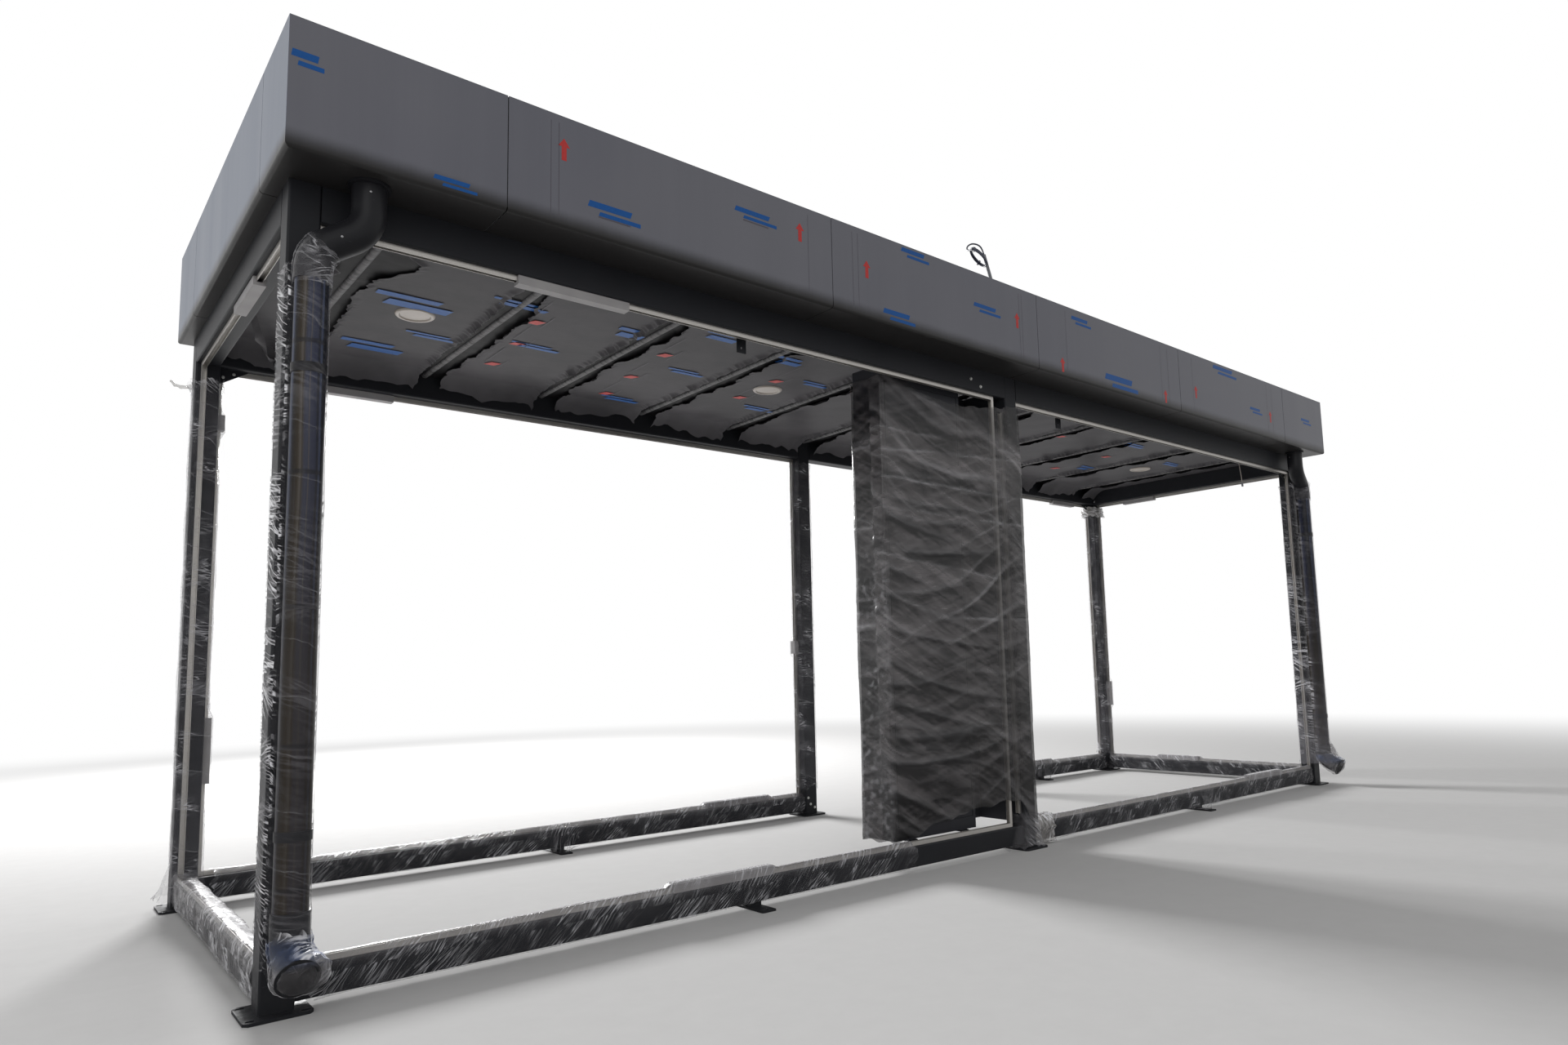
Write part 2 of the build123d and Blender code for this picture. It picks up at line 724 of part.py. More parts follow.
long_bays = (
    (left_end + post_size, -bay_inner - end_post_gap, rear_glass),
    (bay_inner, right_end - post_size, rear_glass),
    (left_end + post_size, -bay_inner, road_glass),
    (door_post_right, right_end - post_size, road_glass),
)
with BuildPart() as glazing_channels:
    for start, end, y in long_bays:
        with Locations(((start + end) / 2, y, bay_middle)):
            channel_frame(end - start)
    for x in (left_end + glazing_setback, right_end - glazing_setback):
        with Locations(Location((x, (inner_rear + inner_road) / 2, bay_middle), (0, 0, 90))):
            channel_frame(inner_road - inner_rear)
    with BuildSketch(Plane.XY.offset(post_channel_bottom)):
        with Locations((-bay_inner - channel_height / 2, rear_glass)):
            Rectangle(channel_height, channel_width)
            with Locations((-channel_wall, 0)):
                Rectangle(channel_height, channel_width - 2 * channel_wall, mode=Mode.SUBTRACT)
    extrude(amount=beam_bottom - post_channel_below_beam - post_channel_bottom)
glazing_channels.part.label = "glazing_channels"
export_step(glazing_channels.part, "parts/glazing_channels.step")

# Packing blocks, grooved to sit over the channels on rails, beams and posts
groove_width = channel_width + 2 * block_groove
groove_height = channel_height + block_groove
left_glass = left_end + glazing_setback
right_glass = right_end - glazing_setback
bay_start = left_end + post_size
bay_end = right_end - post_size


def block_set(corner, way, block, turn):
    """Gives the place of a block that lies along one way from a corner of its bay, and its length."""
    distance, length = block
    middle = tuple(start + distance * step for start, step in zip(corner, way))
    return Location(middle, turn), length


rightward, leftward = (1, 0, 0), (-1, 0, 0)
to_road, to_rear = (0, 1, 0), (0, -1, 0)
upward, downward = (0, 0, 1), (0, 0, -1)
on_rail = (0, 0, 0)
on_end_rail = (0, 0, 90)
under_beam = (180, 0, 0)
under_end_beam = (180, 0, 90)
on_left_post = (0, 90, 0)
on_right_post = (0, -90, 0)
on_road_post = (90, 0, 90)
block_places = [
    block_set((bay_start, rear_glass, bay_bottom), rightward, rear_rail_near_block, on_rail),
    block_set((bay_end, rear_glass, bay_bottom), leftward, rear_rail_far_block, on_rail),
    block_set((0.0, road_glass, bay_bottom), leftward, road_rail_near_block, on_rail),
    block_set((bay_end, road_glass, bay_bottom), leftward, road_rail_far_block, on_rail),
    block_set((right_glass, inner_road, bay_bottom), to_rear, end_rail_block, on_end_rail),
    block_set((bay_start, rear_glass, bay_top), rightward, rear_beam_block, under_beam),
    block_set((bay_start, road_glass, bay_top), rightward, road_beam_near_block, under_beam),
    block_set((bay_end, road_glass, bay_top), leftward, road_beam_far_block, under_beam),
    block_set((left_glass, inner_rear, bay_top), to_road, left_beam_block, under_end_beam),
    block_set((right_glass, inner_road, bay_top), to_rear, right_beam_block, under_end_beam),
    block_set((bay_start, road_glass, bay_bottom), upward, left_post_low_block, on_left_post),
    block_set((bay_start, road_glass, bay_top), downward, left_post_high_block, on_left_post),
    block_set((-bay_inner, road_glass, bay_bottom), upward, middle_post_block, on_right_post),
    block_set((right_glass, inner_road, bay_bottom), upward, road_post_block, on_road_post),
]
with BuildPart() as packing_blocks:
    for block_location, length in block_places:
        with Locations(block_location):
            Box(length, block_width, block_height, align=(Align.CENTER, Align.CENTER, Align.MIN))
            Box(
                length,
                groove_width,
                groove_height,
                align=(Align.CENTER, Align.CENTER, Align.MIN),
                mode=Mode.SUBTRACT,
            )
packing_blocks.part.label = "packing_blocks"
export_step(packing_blocks.part, "parts/packing_blocks.step")

# Flat steel hangers bolted inside the rear beam, with an eye below it
tab_places = (left_end + tab_first, left_end + tab_first + tab_pitch)
with BuildPart() as hanger_tabs:
    with BuildSketch(Plane.XZ.offset(-inner_rear)):
        with Locations(*[(x, beam_bottom - tab_drop) for x in tab_places]):
            with Locations((0, (tab_drop + tab_lap_height) / 2)):
                RectangleRounded(tab_width, tab_drop + tab_lap_height, tab_thickness)
            with Locations((0, tab_width / 2)):
                Circle(tab_hole / 2, mode=Mode.SUBTRACT)
    extrude(amount=-tab_thickness)
hanger_tabs.part.label = "hanger_tabs"
export_step(hanger_tabs.part, "parts/hanger_tabs.step")

# Tall cabinet against the inside of the rear beam, with an inset door front and back
cabinet_top = beam_bottom + cabinet_lap_height
cabinet_right = -bay_inner - cabinet_from_middle
cabinet_left = cabinet_right - cabinet_width
cabinet_back = inner_rear + cabinet_depth
cabinet_centre = ((cabinet_left + cabinet_right) / 2, inner_rear + cabinet_depth / 2)
door_width = cabinet_width - 2 * cabinet_door_inset
door_bottom = cabinet_bottom + cabinet_plinth
door_top = beam_bottom - cabinet_door_inset
with BuildPart() as cabinet:
    with BuildSketch(Plane.XY.offset(cabinet_bottom)):
        with Locations(cabinet_centre):
            RectangleRounded(cabinet_width, cabinet_depth, cabinet_corner)
    extrude(amount=cabinet_top - cabinet_bottom)
    for face_y in (inner_rear + cabinet_door_step / 2, cabinet_back - cabinet_door_step / 2):
        with Locations((cabinet_centre[0], face_y, (door_bottom + door_top) / 2)):
            Box(door_width, cabinet_door_step, door_top - door_bottom, mode=Mode.SUBTRACT)
            Box(
                door_width - 2 * cabinet_door_gap,
                cabinet_door_step,
                door_top - door_bottom - 2 * cabinet_door_gap,
            )
cabinet.part.label = "cabinet"
export_step(cabinet.part, "parts/cabinet.step")

# Z-shaped brackets that carry the cabinet from the top of the rail
bracket_front = rear_row + rail_width / 2 - z_bracket_seat
bracket_web = rear_row + rail_width / 2 - z_bracket_wall
with BuildPart() as cabinet_brackets:
    for bracket_x in (cabinet_left + cabinet_foot_inset, cabinet_right - cabinet_foot_inset):
        with BuildSketch(Plane.YZ.offset(bracket_x - cabinet_foot_length / 2)):
            with BuildLine():
                Polyline(
                    (bracket_front, rail_top),
                    (bracket_web + z_bracket_wall, rail_top),
                    (bracket_web + z_bracket_wall, cabinet_bottom - z_bracket_wall),
                    (cabinet_back - cabinet_corner, cabinet_bottom - z_bracket_wall),
                    (cabinet_back - cabinet_corner, cabinet_bottom),
                    (bracket_web, cabinet_bottom),
                    (bracket_web, rail_top + z_bracket_wall),
                    (bracket_front, rail_top + z_bracket_wall),
                    close=True,
                )
            make_face()
        extrude(amount=cabinet_foot_length)
cabinet_brackets.part.label = "cabinet_brackets"
export_step(cabinet_brackets.part, "parts/cabinet_brackets.step")

# Folded black sheet that closes the niche between the cabinet and the middle post
with BuildPart() as cabinet_niche:
    with BuildSketch(Plane.XY.offset(cabinet_bottom)):
        with BuildLine():
            Polyline(
                (cabinet_right, cabinet_back - cabinet_corner - niche_thickness),
                (-bay_inner, cabinet_back - cabinet_corner - niche_thickness),
                (-bay_inner, inner_rear),
                (-bay_inner + niche_thickness, inner_rear),
                (-bay_inner + niche_thickness, cabinet_back - cabinet_corner),
                (cabinet_right, cabinet_back - cabinet_corner),
                close=True,
            )
        make_face()
    extrude(amount=cabinet_top - cabinet_bottom)
cabinet_niche.part.label = "cabinet_niche"
export_step(cabinet_niche.part, "parts/cabinet_niche.step")

# Supply conduit that rises from the roof over the middle post and leans to the left
conduit_y = rear_face + conduit_from_face
conduit_base_height = deck_height(conduit_y)
conduit_knee = conduit_base_height + conduit_rise
conduit_lean_x = -conduit_tip * sin(radians(conduit_lean))
conduit_lean_z = conduit_tip * cos(radians(conduit_lean))
conduit_mouth = (conduit_x + conduit_lean_x, conduit_y, conduit_knee + conduit_lean_z)
deck_plane = Plane(
    origin=(conduit_x, conduit_y, conduit_base_height),
    x_dir=(1, 0, 0),
    z_dir=(0, -sin(atan2(deck_fall, 1)), cos(atan2(deck_fall, 1))),
)
with BuildPart() as roof_conduit:
    with BuildSketch(deck_plane):
        RectangleRounded(conduit_plate, conduit_plate, conduit_corner)
        Circle(conduit_diameter / 2 - conduit_wall, mode=Mode.SUBTRACT)
    extrude(amount=conduit_plate_thickness)
    with BuildLine():
        FilletPolyline(
            (conduit_x, conduit_y, conduit_base_height + conduit_plate_thickness / 2),
            (conduit_x, conduit_y, conduit_knee),
            conduit_mouth,
            radius=conduit_bend,
        )
    with BuildSketch(Plane.XY.offset(conduit_base_height + conduit_plate_thickness / 2)):
        with Locations((conduit_x, conduit_y)):
            Circle(conduit_diameter / 2)
            Circle(conduit_diameter / 2 - conduit_wall, mode=Mode.SUBTRACT)
    sweep()
    cap_plane = Plane(origin=conduit_mouth, z_dir=(conduit_lean_x, 0, conduit_lean_z))
    with BuildSketch(cap_plane):
        Circle(conduit_diameter / 2)
    extrude(amount=-conduit_cap)
roof_conduit.part.label = "roof_conduit"
export_step(roof_conduit.part, "parts/roof_conduit.step")

# Loose end of the supply cable: out of the conduit, over a hump and into two tied turns


def from_mouth(x, y, z):
    """Gives the point that lies this far from the conduit's mouth."""
    return (conduit_mouth[0] + x, conduit_mouth[1] + y, conduit_mouth[2] + z)


coil_plane = Plane(origin=from_mouth(*coil_from_mouth), x_dir=coil_high_side, z_dir=coil_axis)
coil_start = coil_plane.from_local_coords((coil_radius, 0, 0))
coil_run = coil_plane.y_dir
with BuildPart() as roof_cable_coil:
    with BuildSketch(Plane(origin=coil_start, x_dir=coil_plane.x_dir, z_dir=coil_run)):
        Circle(coil_thickness / 2)
    revolve(axis=Axis(coil_plane.origin, coil_plane.z_dir), revolution_arc=coil_sweep)
roof_cable_coil.part.label = "roof_cable_coil"
export_step(roof_cable_coil.part, "parts/roof_cable_coil.step")


def cord_radii(route):
    """Gives the arcs for a cord's corners; each takes an even share of the shorter run."""
    radii = []
    for before, corner, after in zip(route, route[1:], route[2:]):
        run_in = Vector(*corner) - Vector(*before)
        run_out = Vector(*after) - Vector(*corner)
        half_turn = radians(run_in.get_angle(run_out) / 2)
        radii.append(cord_arc_share * min(run_in.length, run_out.length) / tan(half_turn))
    return radii


cable_rise = cable_first_run / conduit_tip
cable_route = [
    conduit_mouth,
    from_mouth(cable_rise * conduit_lean_x, 0.0, cable_rise * conduit_lean_z),
    *[from_mouth(*point) for point in cable_hump],
    tuple(coil_start - coil_run * cable_lead_in),
    tuple(coil_start),
]
cable_radii = cord_radii(cable_route)
print("roof cable radii", [round(radius, 1) for radius in cable_radii])
with BuildPart() as roof_cable:
    with BuildLine() as cable_path:
        FilletPolyline(*cable_route, radius=cable_radii)
    with BuildSketch(Plane(origin=cable_route[0], z_dir=cable_path.wire() % 0)):
        Circle(cable_diameter / 2)
    sweep()
roof_cable.part.label = "roof_cable"
export_step(roof_cable.part, "parts/roof_cable.step")
cable_area = pi * cable_diameter**2 / 4
print("roof cable volume ratio", roof_cable.part.volume / (cable_area * cable_path.wire().length))

# Thin lead that hangs from a gland in the ceiling and ends in a small connector
lead_x = right_end - lead_from_end
lead_y = inner_rear + lead_from_beam
with BuildPart() as lead_gland:
    with BuildSketch(Plane.XY.offset(soffit_height)):
        with Locations((lead_x, lead_y)):
            RegularPolygon(lead_gland_size / 2, 6)
    extrude(amount=-lead_gland_height)
    fillet(lead_gland.faces().sort_by(Axis.Z)[0].edges(), lead_gland_fillet)
lead_gland.part.label = "lead_gland"
export_step(lead_gland.part, "parts/lead_gland.step")

lead_top = soffit_height - lead_gland_height
lead_route = [
    (lead_x + across * lead_sway, lead_y, lead_top - fall * lead_drop)
    for across, fall in lead_shape
]
lead_radii = cord_radii(lead_route)
print("hanging lead radii", [round(radius, 1) for radius in lead_radii])
with BuildPart() as hanging_lead:
    with BuildLine() as lead_path:
        FilletPolyline(*lead_route, radius=lead_radii)
    with BuildSketch(Plane(origin=lead_route[0], z_dir=lead_path.wire() % 0)):
        Circle(lead_diameter / 2)
    sweep()
hanging_lead.part.label = "hanging_lead"
export_step(hanging_lead.part, "parts/hanging_lead.step")
lead_area = pi * lead_diameter**2 / 4
print("hanging lead volume ratio", hanging_lead.part.volume / (lead_area * lead_path.wire().length))

with BuildPart() as lead_connector:
    with BuildSketch(Plane(origin=lead_route[-1], z_dir=lead_path.wire() % 1)):
        Circle(connector_diameter / 2)
    extrude(amount=connector_length)
    connector_ends = lead_connector.faces().filter_by(GeomType.PLANE)
    fillet(connector_ends.edges(), connector_fillet)
lead_connector.part.label = "lead_connector"
export_step(lead_connector.part, "parts/lead_connector.step")
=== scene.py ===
# %% [markdown]
# # A bus shelter frame, still in its wrapping
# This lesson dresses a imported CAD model. The CAD brings every part with a real size: posts,
# beams, rails, roof edge, ceiling, pipes and cabinet. Blender adds what is soft, thin or
# printed: the stretch film wound round the steel, the torn film on the ceiling, the marks
# printed on the roof edge, the screws, and the finish of every surface.
#
# All lengths are metres, in the frame of the CAD model, so a piece is made where it belongs.

import bpy
import bmesh
import json
import math
import random
from itertools import accumulate
from mathutils import Matrix, Quaternion, Vector, noise


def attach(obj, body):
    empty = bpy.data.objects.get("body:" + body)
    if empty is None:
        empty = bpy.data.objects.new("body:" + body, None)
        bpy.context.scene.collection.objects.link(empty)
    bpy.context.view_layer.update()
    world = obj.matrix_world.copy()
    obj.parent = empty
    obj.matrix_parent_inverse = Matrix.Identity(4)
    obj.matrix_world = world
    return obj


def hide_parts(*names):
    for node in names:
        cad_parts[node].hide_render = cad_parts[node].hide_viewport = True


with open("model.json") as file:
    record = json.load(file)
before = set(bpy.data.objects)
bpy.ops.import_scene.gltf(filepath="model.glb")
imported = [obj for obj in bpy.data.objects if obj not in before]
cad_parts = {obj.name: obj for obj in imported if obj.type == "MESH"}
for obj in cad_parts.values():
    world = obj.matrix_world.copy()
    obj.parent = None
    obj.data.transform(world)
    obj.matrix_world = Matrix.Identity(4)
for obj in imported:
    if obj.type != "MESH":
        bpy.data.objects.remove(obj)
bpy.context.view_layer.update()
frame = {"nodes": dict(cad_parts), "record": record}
print("nodes in the frame:", len(frame["nodes"]))

# %% [markdown]
# ## Small helpers
# Meshes are made from plain lists of points and faces.

# %% Helpers for meshes and pieces
made = {}


def in_scene(name, data):
    obj = bpy.data.objects.new(name, data)
    bpy.context.scene.collection.objects.link(obj)
    return obj


def mesh_object(name, points, faces):
    mesh = bpy.data.meshes.new(name)
    mesh.from_pydata([tuple(p) for p in points], [], faces)
    mesh.update()
    mesh.polygons.foreach_set("use_smooth", [True] * len(mesh.polygons))
    return in_scene(name, mesh)


def joined(rows, columns, closed=False, inside_out=False, first=0):
    """Faces between rows of points. A closed row runs on from its last point to its first."""
    faces = []
    for j in range(rows - 1):
        for k in range(columns if closed else columns - 1):
            a, b = (first + j * columns + i for i in (k, (k + 1) % columns))
            face = (a, a + columns, b + columns, b)
            faces.append(face if inside_out else (a, *face[:0:-1]))
    return faces


def face_outward(mesh):
    work = bmesh.new()
    work.from_mesh(mesh)
    bmesh.ops.recalc_face_normals(work, faces=work.faces)
    work.to_mesh(mesh)
    work.free()


def piece(obj, material):
    obj.data.materials.clear()
    obj.data.materials.append(material)
    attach(obj, "root")
    made[obj.name] = len(obj.data.polygons) if obj.type == "MESH" else 0
    return obj


def rough(x, y, z, seed=0.0):
    """Smooth noise from -1 to 1 that is the same on every run."""
    return noise.noise(Vector((x + 17.3 * seed, y - 9.1 * seed, z + 4.7 * seed)))


def share_of(value):
    """The value, kept between 0 and 1."""
    return max(0.0, min(1.0, value))


# %% [markdown]
# ## The camera
# The place and the lens were worked out from the straight edges of the frame in the
# photograph, with the 100 mm posts as the scale. The three directions below are the
# picture's right, its down and the line of sight, so they make the camera's turn directly,
# with no guess at angles. The small shift is there because the picture is a crop.

# %% Camera
picture_width, picture_height = 1920, 1280
focal_pixels = 1179.16
centre_u, centre_v = 1001.87, 690.65
sensor_width = 36.0
eye = Vector((-4.34528, -4.27117, 0.98904))
right = Vector((0.7617371, -0.64741901, -0.02460122))
down = Vector((0.05259254, 0.09963605, -0.99363307))
ahead = Vector((0.64574811, 0.75559333, 0.10994589))

camera_data = bpy.data.cameras.new("camera")
camera_data.sensor_fit = "HORIZONTAL"
camera_data.sensor_width = sensor_width
camera_data.lens = focal_pixels / picture_width * sensor_width
camera_data.shift_x = -(centre_u - picture_width / 2) / picture_width
camera_data.shift_y = (centre_v - picture_height / 2) / picture_width
camera_data.clip_end = 200.0
camera = in_scene("camera", camera_data)
camera.matrix_world = Matrix.Translation(eye) @ Matrix((right, -down, -ahead)).transposed().to_4x4()
bpy.context.scene.camera = camera
shift = round(camera_data.shift_x, 4), round(camera_data.shift_y, 4)
print("lens", round(camera_data.lens, 2), "shift", *shift)

# %% [markdown]
# ## Short words for nodes
# Every finish is built from the same few nodes: some arithmetic, noise, a smooth step, a mix
# of two colours. `Nodes` gives each of them one word. A value that is a socket gets linked,
# and a plain number, vector or colour is set on the input directly.

# %% Node helpers
class Nodes:
    """A node tree and the words that add to it."""

    def __init__(self, tree):
        self.tree = tree

    def feed(self, socket, value):
        if isinstance(value, bpy.types.NodeSocket):
            self.tree.links.new(value, socket)
        else:
            socket.default_value = (*value, 1.0) if socket.type == "RGBA" else value

    def node(self, kind, values=None, **settings):
        """Adds a node, feeds its inputs by name or number, and gives its outputs."""
        new = self.tree.nodes.new(kind)
        for key, value in settings.items():
            setattr(new, key, value)
        for key, value in (values or {}).items():
            self.feed(new.inputs[key], value)
        return new.outputs

    def math(self, operation, *values, clamp=False):
        return self.node("ShaderNodeMath", dict(enumerate(values)), operation=operation, use_clamp=clamp)[0]

    def plus(self, a, b, clamp=False):
        return self.math("ADD", a, b, clamp=clamp)

    def minus(self, a, b, clamp=False):
        return self.math("SUBTRACT", a, b, clamp=clamp)

    def times(self, a, b):
        return self.math("MULTIPLY", a, b)

    def larger(self, a, b, clamp=False):
        return self.math("MAXIMUM", a, b, clamp=clamp)

    def step(self, value, low, high):
        """A smooth step from 0 at low to 1 at high."""
        bounds = {"Value": value, "From Min": low, "From Max": high}
        return self.node("ShaderNodeMapRange", bounds, interpolation_type="SMOOTHSTEP")["Result"]

    def mix(self, factor, a, b):
        return self.node("ShaderNodeMix", {0: factor, 6: a, 7: b}, data_type="RGBA")[2]

    def mapped(self, vector, scale=(1, 1, 1), turn=(0, 0, 0)):
        values = {"Vector": vector, "Scale": scale, "Rotation": tuple(math.radians(a) for a in turn)}
        return self.node("ShaderNodeMapping", values)["Vector"]

    def noise(self, vector, scale, detail=2.0, roughness=0.5, distortion=0.0, stretch=None):
        """Noise, drawn out along an axis where the stretch is small."""
        place = self.mapped(vector, stretch) if stretch else vector
        values = {"Vector": place, "Scale": scale, "Detail": detail, "Roughness": roughness}
        return self.node("ShaderNodeTexNoise", {**values, "Distortion": distortion})["Fac"]

    def split(self, vector):
        return self.node("ShaderNodeSeparateXYZ", {0: vector})

    def stored(self, label):
        return self.node("ShaderNodeAttribute", attribute_name=label)["Fac"]

    def use(self, group, **values):
        return self.node("ShaderNodeGroup", values, node_tree=group.tree)


class Group(Nodes):
    """A node group that puts out numbers. An input whose default is None is a vector."""

    def __init__(self, name, outputs, **inputs):
        super().__init__(bpy.data.node_groups.new(name, "ShaderNodeTree"))
        for label, default in inputs.items():
            kind = "NodeSocketVector" if default is None else "NodeSocketFloat"
            socket = self.tree.interface.new_socket(label, in_out="INPUT", socket_type=kind)
            if default is not None:
                socket.default_value = default
        for label in outputs:
            self.tree.interface.new_socket(label, in_out="OUTPUT", socket_type="NodeSocketFloat")
        self.given = self.node("NodeGroupInput")

    def give(self, **values):
        self.node("NodeGroupOutput", values)


def emptied(owner):
    """The node tree of a material or world, with nothing in it yet."""
    owner.use_nodes = True
    owner.node_tree.nodes.clear()
    return owner.node_tree


class Material(Nodes):
    """A material with one Principled shader on the object's own coordinates."""

    def __init__(self, name, roughness, metallic, specular):
        self.material = bpy.data.materials.new(name)
        super().__init__(emptied(self.material))
        surface = {"Roughness": roughness, "Metallic": metallic, "Specular IOR Level": specular}
        lit = self.node("ShaderNodeBsdfPrincipled", surface)[0]
        self.shader = lit.node.inputs
        self.node("ShaderNodeOutputMaterial", {"Surface": lit})
        self.place = self.node("ShaderNodeTexCoord")["Object"]

    def finish(self, colour, relief=None, roughness=None, alpha=None):
        """Feeds the shader. Relief is the height, strength and distance in metres of a bump."""
        for label, value in (("Base Color", colour), ("Roughness", roughness), ("Alpha", alpha)):
            if value is not None:
                self.feed(self.shader[label], value)
        if relief:
            raised = self.node("ShaderNodeBump", dict(zip(("Height", "Strength", "Distance"), relief)))
            self.feed(self.shader["Normal"], raised[0])
        return self.material


# %% [markdown]
# ## Shared effects
# Four effects turn up in several materials, so each is a node group that is built once: the
# skin of a powder coat, the creases of tight plastic film, the bands of its winding, and dust
# near the ground. A group puts out only masks and heights. The shader stays in the material.

# %% Powder coat skin: orange peel, faint clouding and a mask of fine scuffs
coat_skin = Group("coat_skin", ("Cloud", "Height", "Scuff"), Vector=None, Grain=900.0)
place = coat_skin.given["Vector"]
scratched = coat_skin.mapped(place, (9, 9, 60), (12, 25, 0))
coat_skin.give(
    Cloud=coat_skin.noise(place, 2.3, 3.0),
    Height=coat_skin.noise(place, coat_skin.given["Grain"], 1.0),
    Scuff=coat_skin.step(coat_skin.noise(scratched, 3.0, 6.0, 0.7), 0.62, 0.78),
)

# %% Film creases: thin bright lines along the pull, partly whitened film and partly painted highlights, in clusters, and the soft folds beside them
film_creases = Group(
    "film_creases", ("Line", "Fold"), Wound=None, Slant=0.0, Fine=80.0, Long=6.0, Cover=0.5, Width=0.1
)
given = film_creases.given
slanted = film_creases.node(
    "ShaderNodeVectorRotate", {"Vector": given["Wound"], "Angle": given["Slant"]}, rotation_type="Z_AXIS"
)[0]
stretch = film_creases.node("ShaderNodeCombineXYZ", {"X": given["Long"], "Y": given["Fine"]})[0]
pulled = film_creases.node("ShaderNodeVectorMath", {0: slanted, 1: stretch}, operation="MULTIPLY")[0]
off_line = film_creases.math("ABSOLUTE", film_creases.minus(film_creases.noise(pulled, 1.0, 1.0, 0.4), 0.5))
line = film_creases.minus(1.0, film_creases.step(off_line, 0.0, given["Width"]))
bare_share = film_creases.minus(0.80, film_creases.times(given["Cover"], 0.5))
clustered = film_creases.minus(film_creases.noise(pulled, 1.0, stretch=(0.55, 0.10, 1)), bare_share)
cluster = film_creases.math("MULTIPLY", clustered, 6.0, clamp=True)
fold_field = film_creases.noise(pulled, 1.0, stretch=(0.45, 0.16, 1))
film_creases.give(Line=film_creases.times(line, cluster), Fold=film_creases.step(fold_field, 0.32, 0.68))

# %% Film bands: each turn laps over the one before, with a hem, and no two turns are as dense
film_bands = Group("film_bands", ("Hem", "Layer"), Wound=None, Pitch=0.2, Slope=0.2)
given = film_bands.given
round_and_along = film_bands.split(given["Wound"])
climb = film_bands.times(round_and_along["X"], given["Slope"])
waver = film_bands.times(film_bands.noise(given["Wound"], 4.0, 3.0, 0.6), 0.10)
laid = film_bands.plus(film_bands.plus(round_and_along["Y"], climb), waver)
turn_number = film_bands.math("DIVIDE", laid, given["Pitch"])
within = film_bands.math("FRACT", turn_number)
density = film_bands.node(
    "ShaderNodeTexWhiteNoise", {"W": film_bands.math("FLOOR", turn_number)}, noise_dimensions="1D"
)["Value"]
film_bands.give(
    Hem=film_bands.minus(1.0, film_bands.step(within, 0.0, 0.035)),
    Layer=film_bands.times(density, film_bands.minus(1.0, film_bands.times(within, 0.55))),
)

# %% Ground dust: a mask that fades out upward from the floor
ground_dust = Group("ground_dust", ("Dust",), Vector=None, Reach=0.25)
place = ground_dust.given["Vector"]
height_share = ground_dust.math("DIVIDE", ground_dust.split(place)["Z"], ground_dust.given["Reach"])
specks = ground_dust.step(ground_dust.noise(place, 38.0, 5.0, 0.7), 0.35, 0.75)
ground_dust.give(Dust=ground_dust.times(ground_dust.minus(1.0, height_share, clamp=True), specks))
print("shared effects:", [g.name for g in bpy.data.node_groups])

# %% [markdown]
# ## Coated steel
# The frame is anthracite powder coat with a satin sheen. Real powder coat is never flat: it
# has a fine orange peel, it clouds a little, and near the ground it holds dust. A cabinet
# beside it has the same coat in a slightly lighter mix, and the pipes are nearly black.

# %% Coated metal finishes
scuff_grey, dust_brown = (0.10, 0.10, 0.105), (0.14, 0.13, 0.115)


def coated(name, dark, light, roughness, dust_reach):
    m = Material(name, roughness, 0.0, 0.13)
    skin = m.use(coat_skin, Vector=m.place, Grain=700.0)
    dusty = m.use(ground_dust, Vector=m.place, Reach=dust_reach)["Dust"]
    scuffed = m.mix(m.times(skin["Scuff"], 0.35), m.mix(skin["Cloud"], dark, light), scuff_grey)
    uneven = m.plus(m.times(skin["Cloud"], 0.16), roughness - 0.08)
    return m.finish(
        m.mix(m.times(dusty, 0.05), scuffed, dust_brown),
        relief=(skin["Height"], 0.12, 0.0006),
        roughness=m.plus(uneven, m.times(dusty, 0.3)),
    )


frame_coat = coated("anthracite_powder_coat", (0.012, 0.0125, 0.015), (0.022, 0.023, 0.027), 0.44, 0.16)
cabinet_coat = coated("cabinet_powder_coat", (0.030, 0.031, 0.036), (0.042, 0.043, 0.050), 0.46, 0.10)
neck_coat = coated("black_pipe_coat", (0.010, 0.0105, 0.012), (0.018, 0.018, 0.021), 0.36, 0.10)

# %% [markdown]
# The straight downpipes still carry a bluish protective skin under the film. Its colour is
# painted reflection and light: broad upright bands, blue where the skin faces the daylight and
# brown between, with dark rings where it overlaps. The bands follow the turn round the pipe: the
# angle comes from the place across and behind the pipe's centre line, and a ramp of colours is
# wrapped round it. Lower down the skin has worn to brown.

# %% Downpipe finish
pipe_x, pipe_y = 3.635, -0.977
navy, blue, brown = (0.004, 0.005, 0.010), (0.040, 0.056, 0.110), (0.012, 0.009, 0.006)
olive, pale, slate = (0.034, 0.025, 0.014), (0.095, 0.085, 0.074), (0.022, 0.027, 0.054)
steel = (0.040, 0.045, 0.072)
streak_grey, worn_brown, ring_black = (0.060, 0.062, 0.080), (0.022, 0.017, 0.011), (0.008, 0.008, 0.010)
# The ramp round the pipe: painted reflection and light on the bluish skin
stops = (
    (0.0, navy), (0.070, blue), (0.100, navy), (0.122, brown), (0.165, olive), (0.197, pale), (0.205, olive),
    (0.232, slate), (0.262, steel), (0.268, pale), (0.275, steel), (0.325, slate), (0.350, navy),
    (0.378, blue), (0.392, navy), (0.47, navy), (0.56, slate), (0.64, brown), (0.76, olive), (0.84, blue),
    (0.93, brown),
)
m = Material("banded_pipe_coat", 0.30, 0.0, 0.12)
spot = m.split(m.place)
across = m.minus(m.math("ABSOLUTE", spot["X"]), pipe_x)
angle = m.math("ARCTAN2", m.minus(spot["Y"], pipe_y), across)
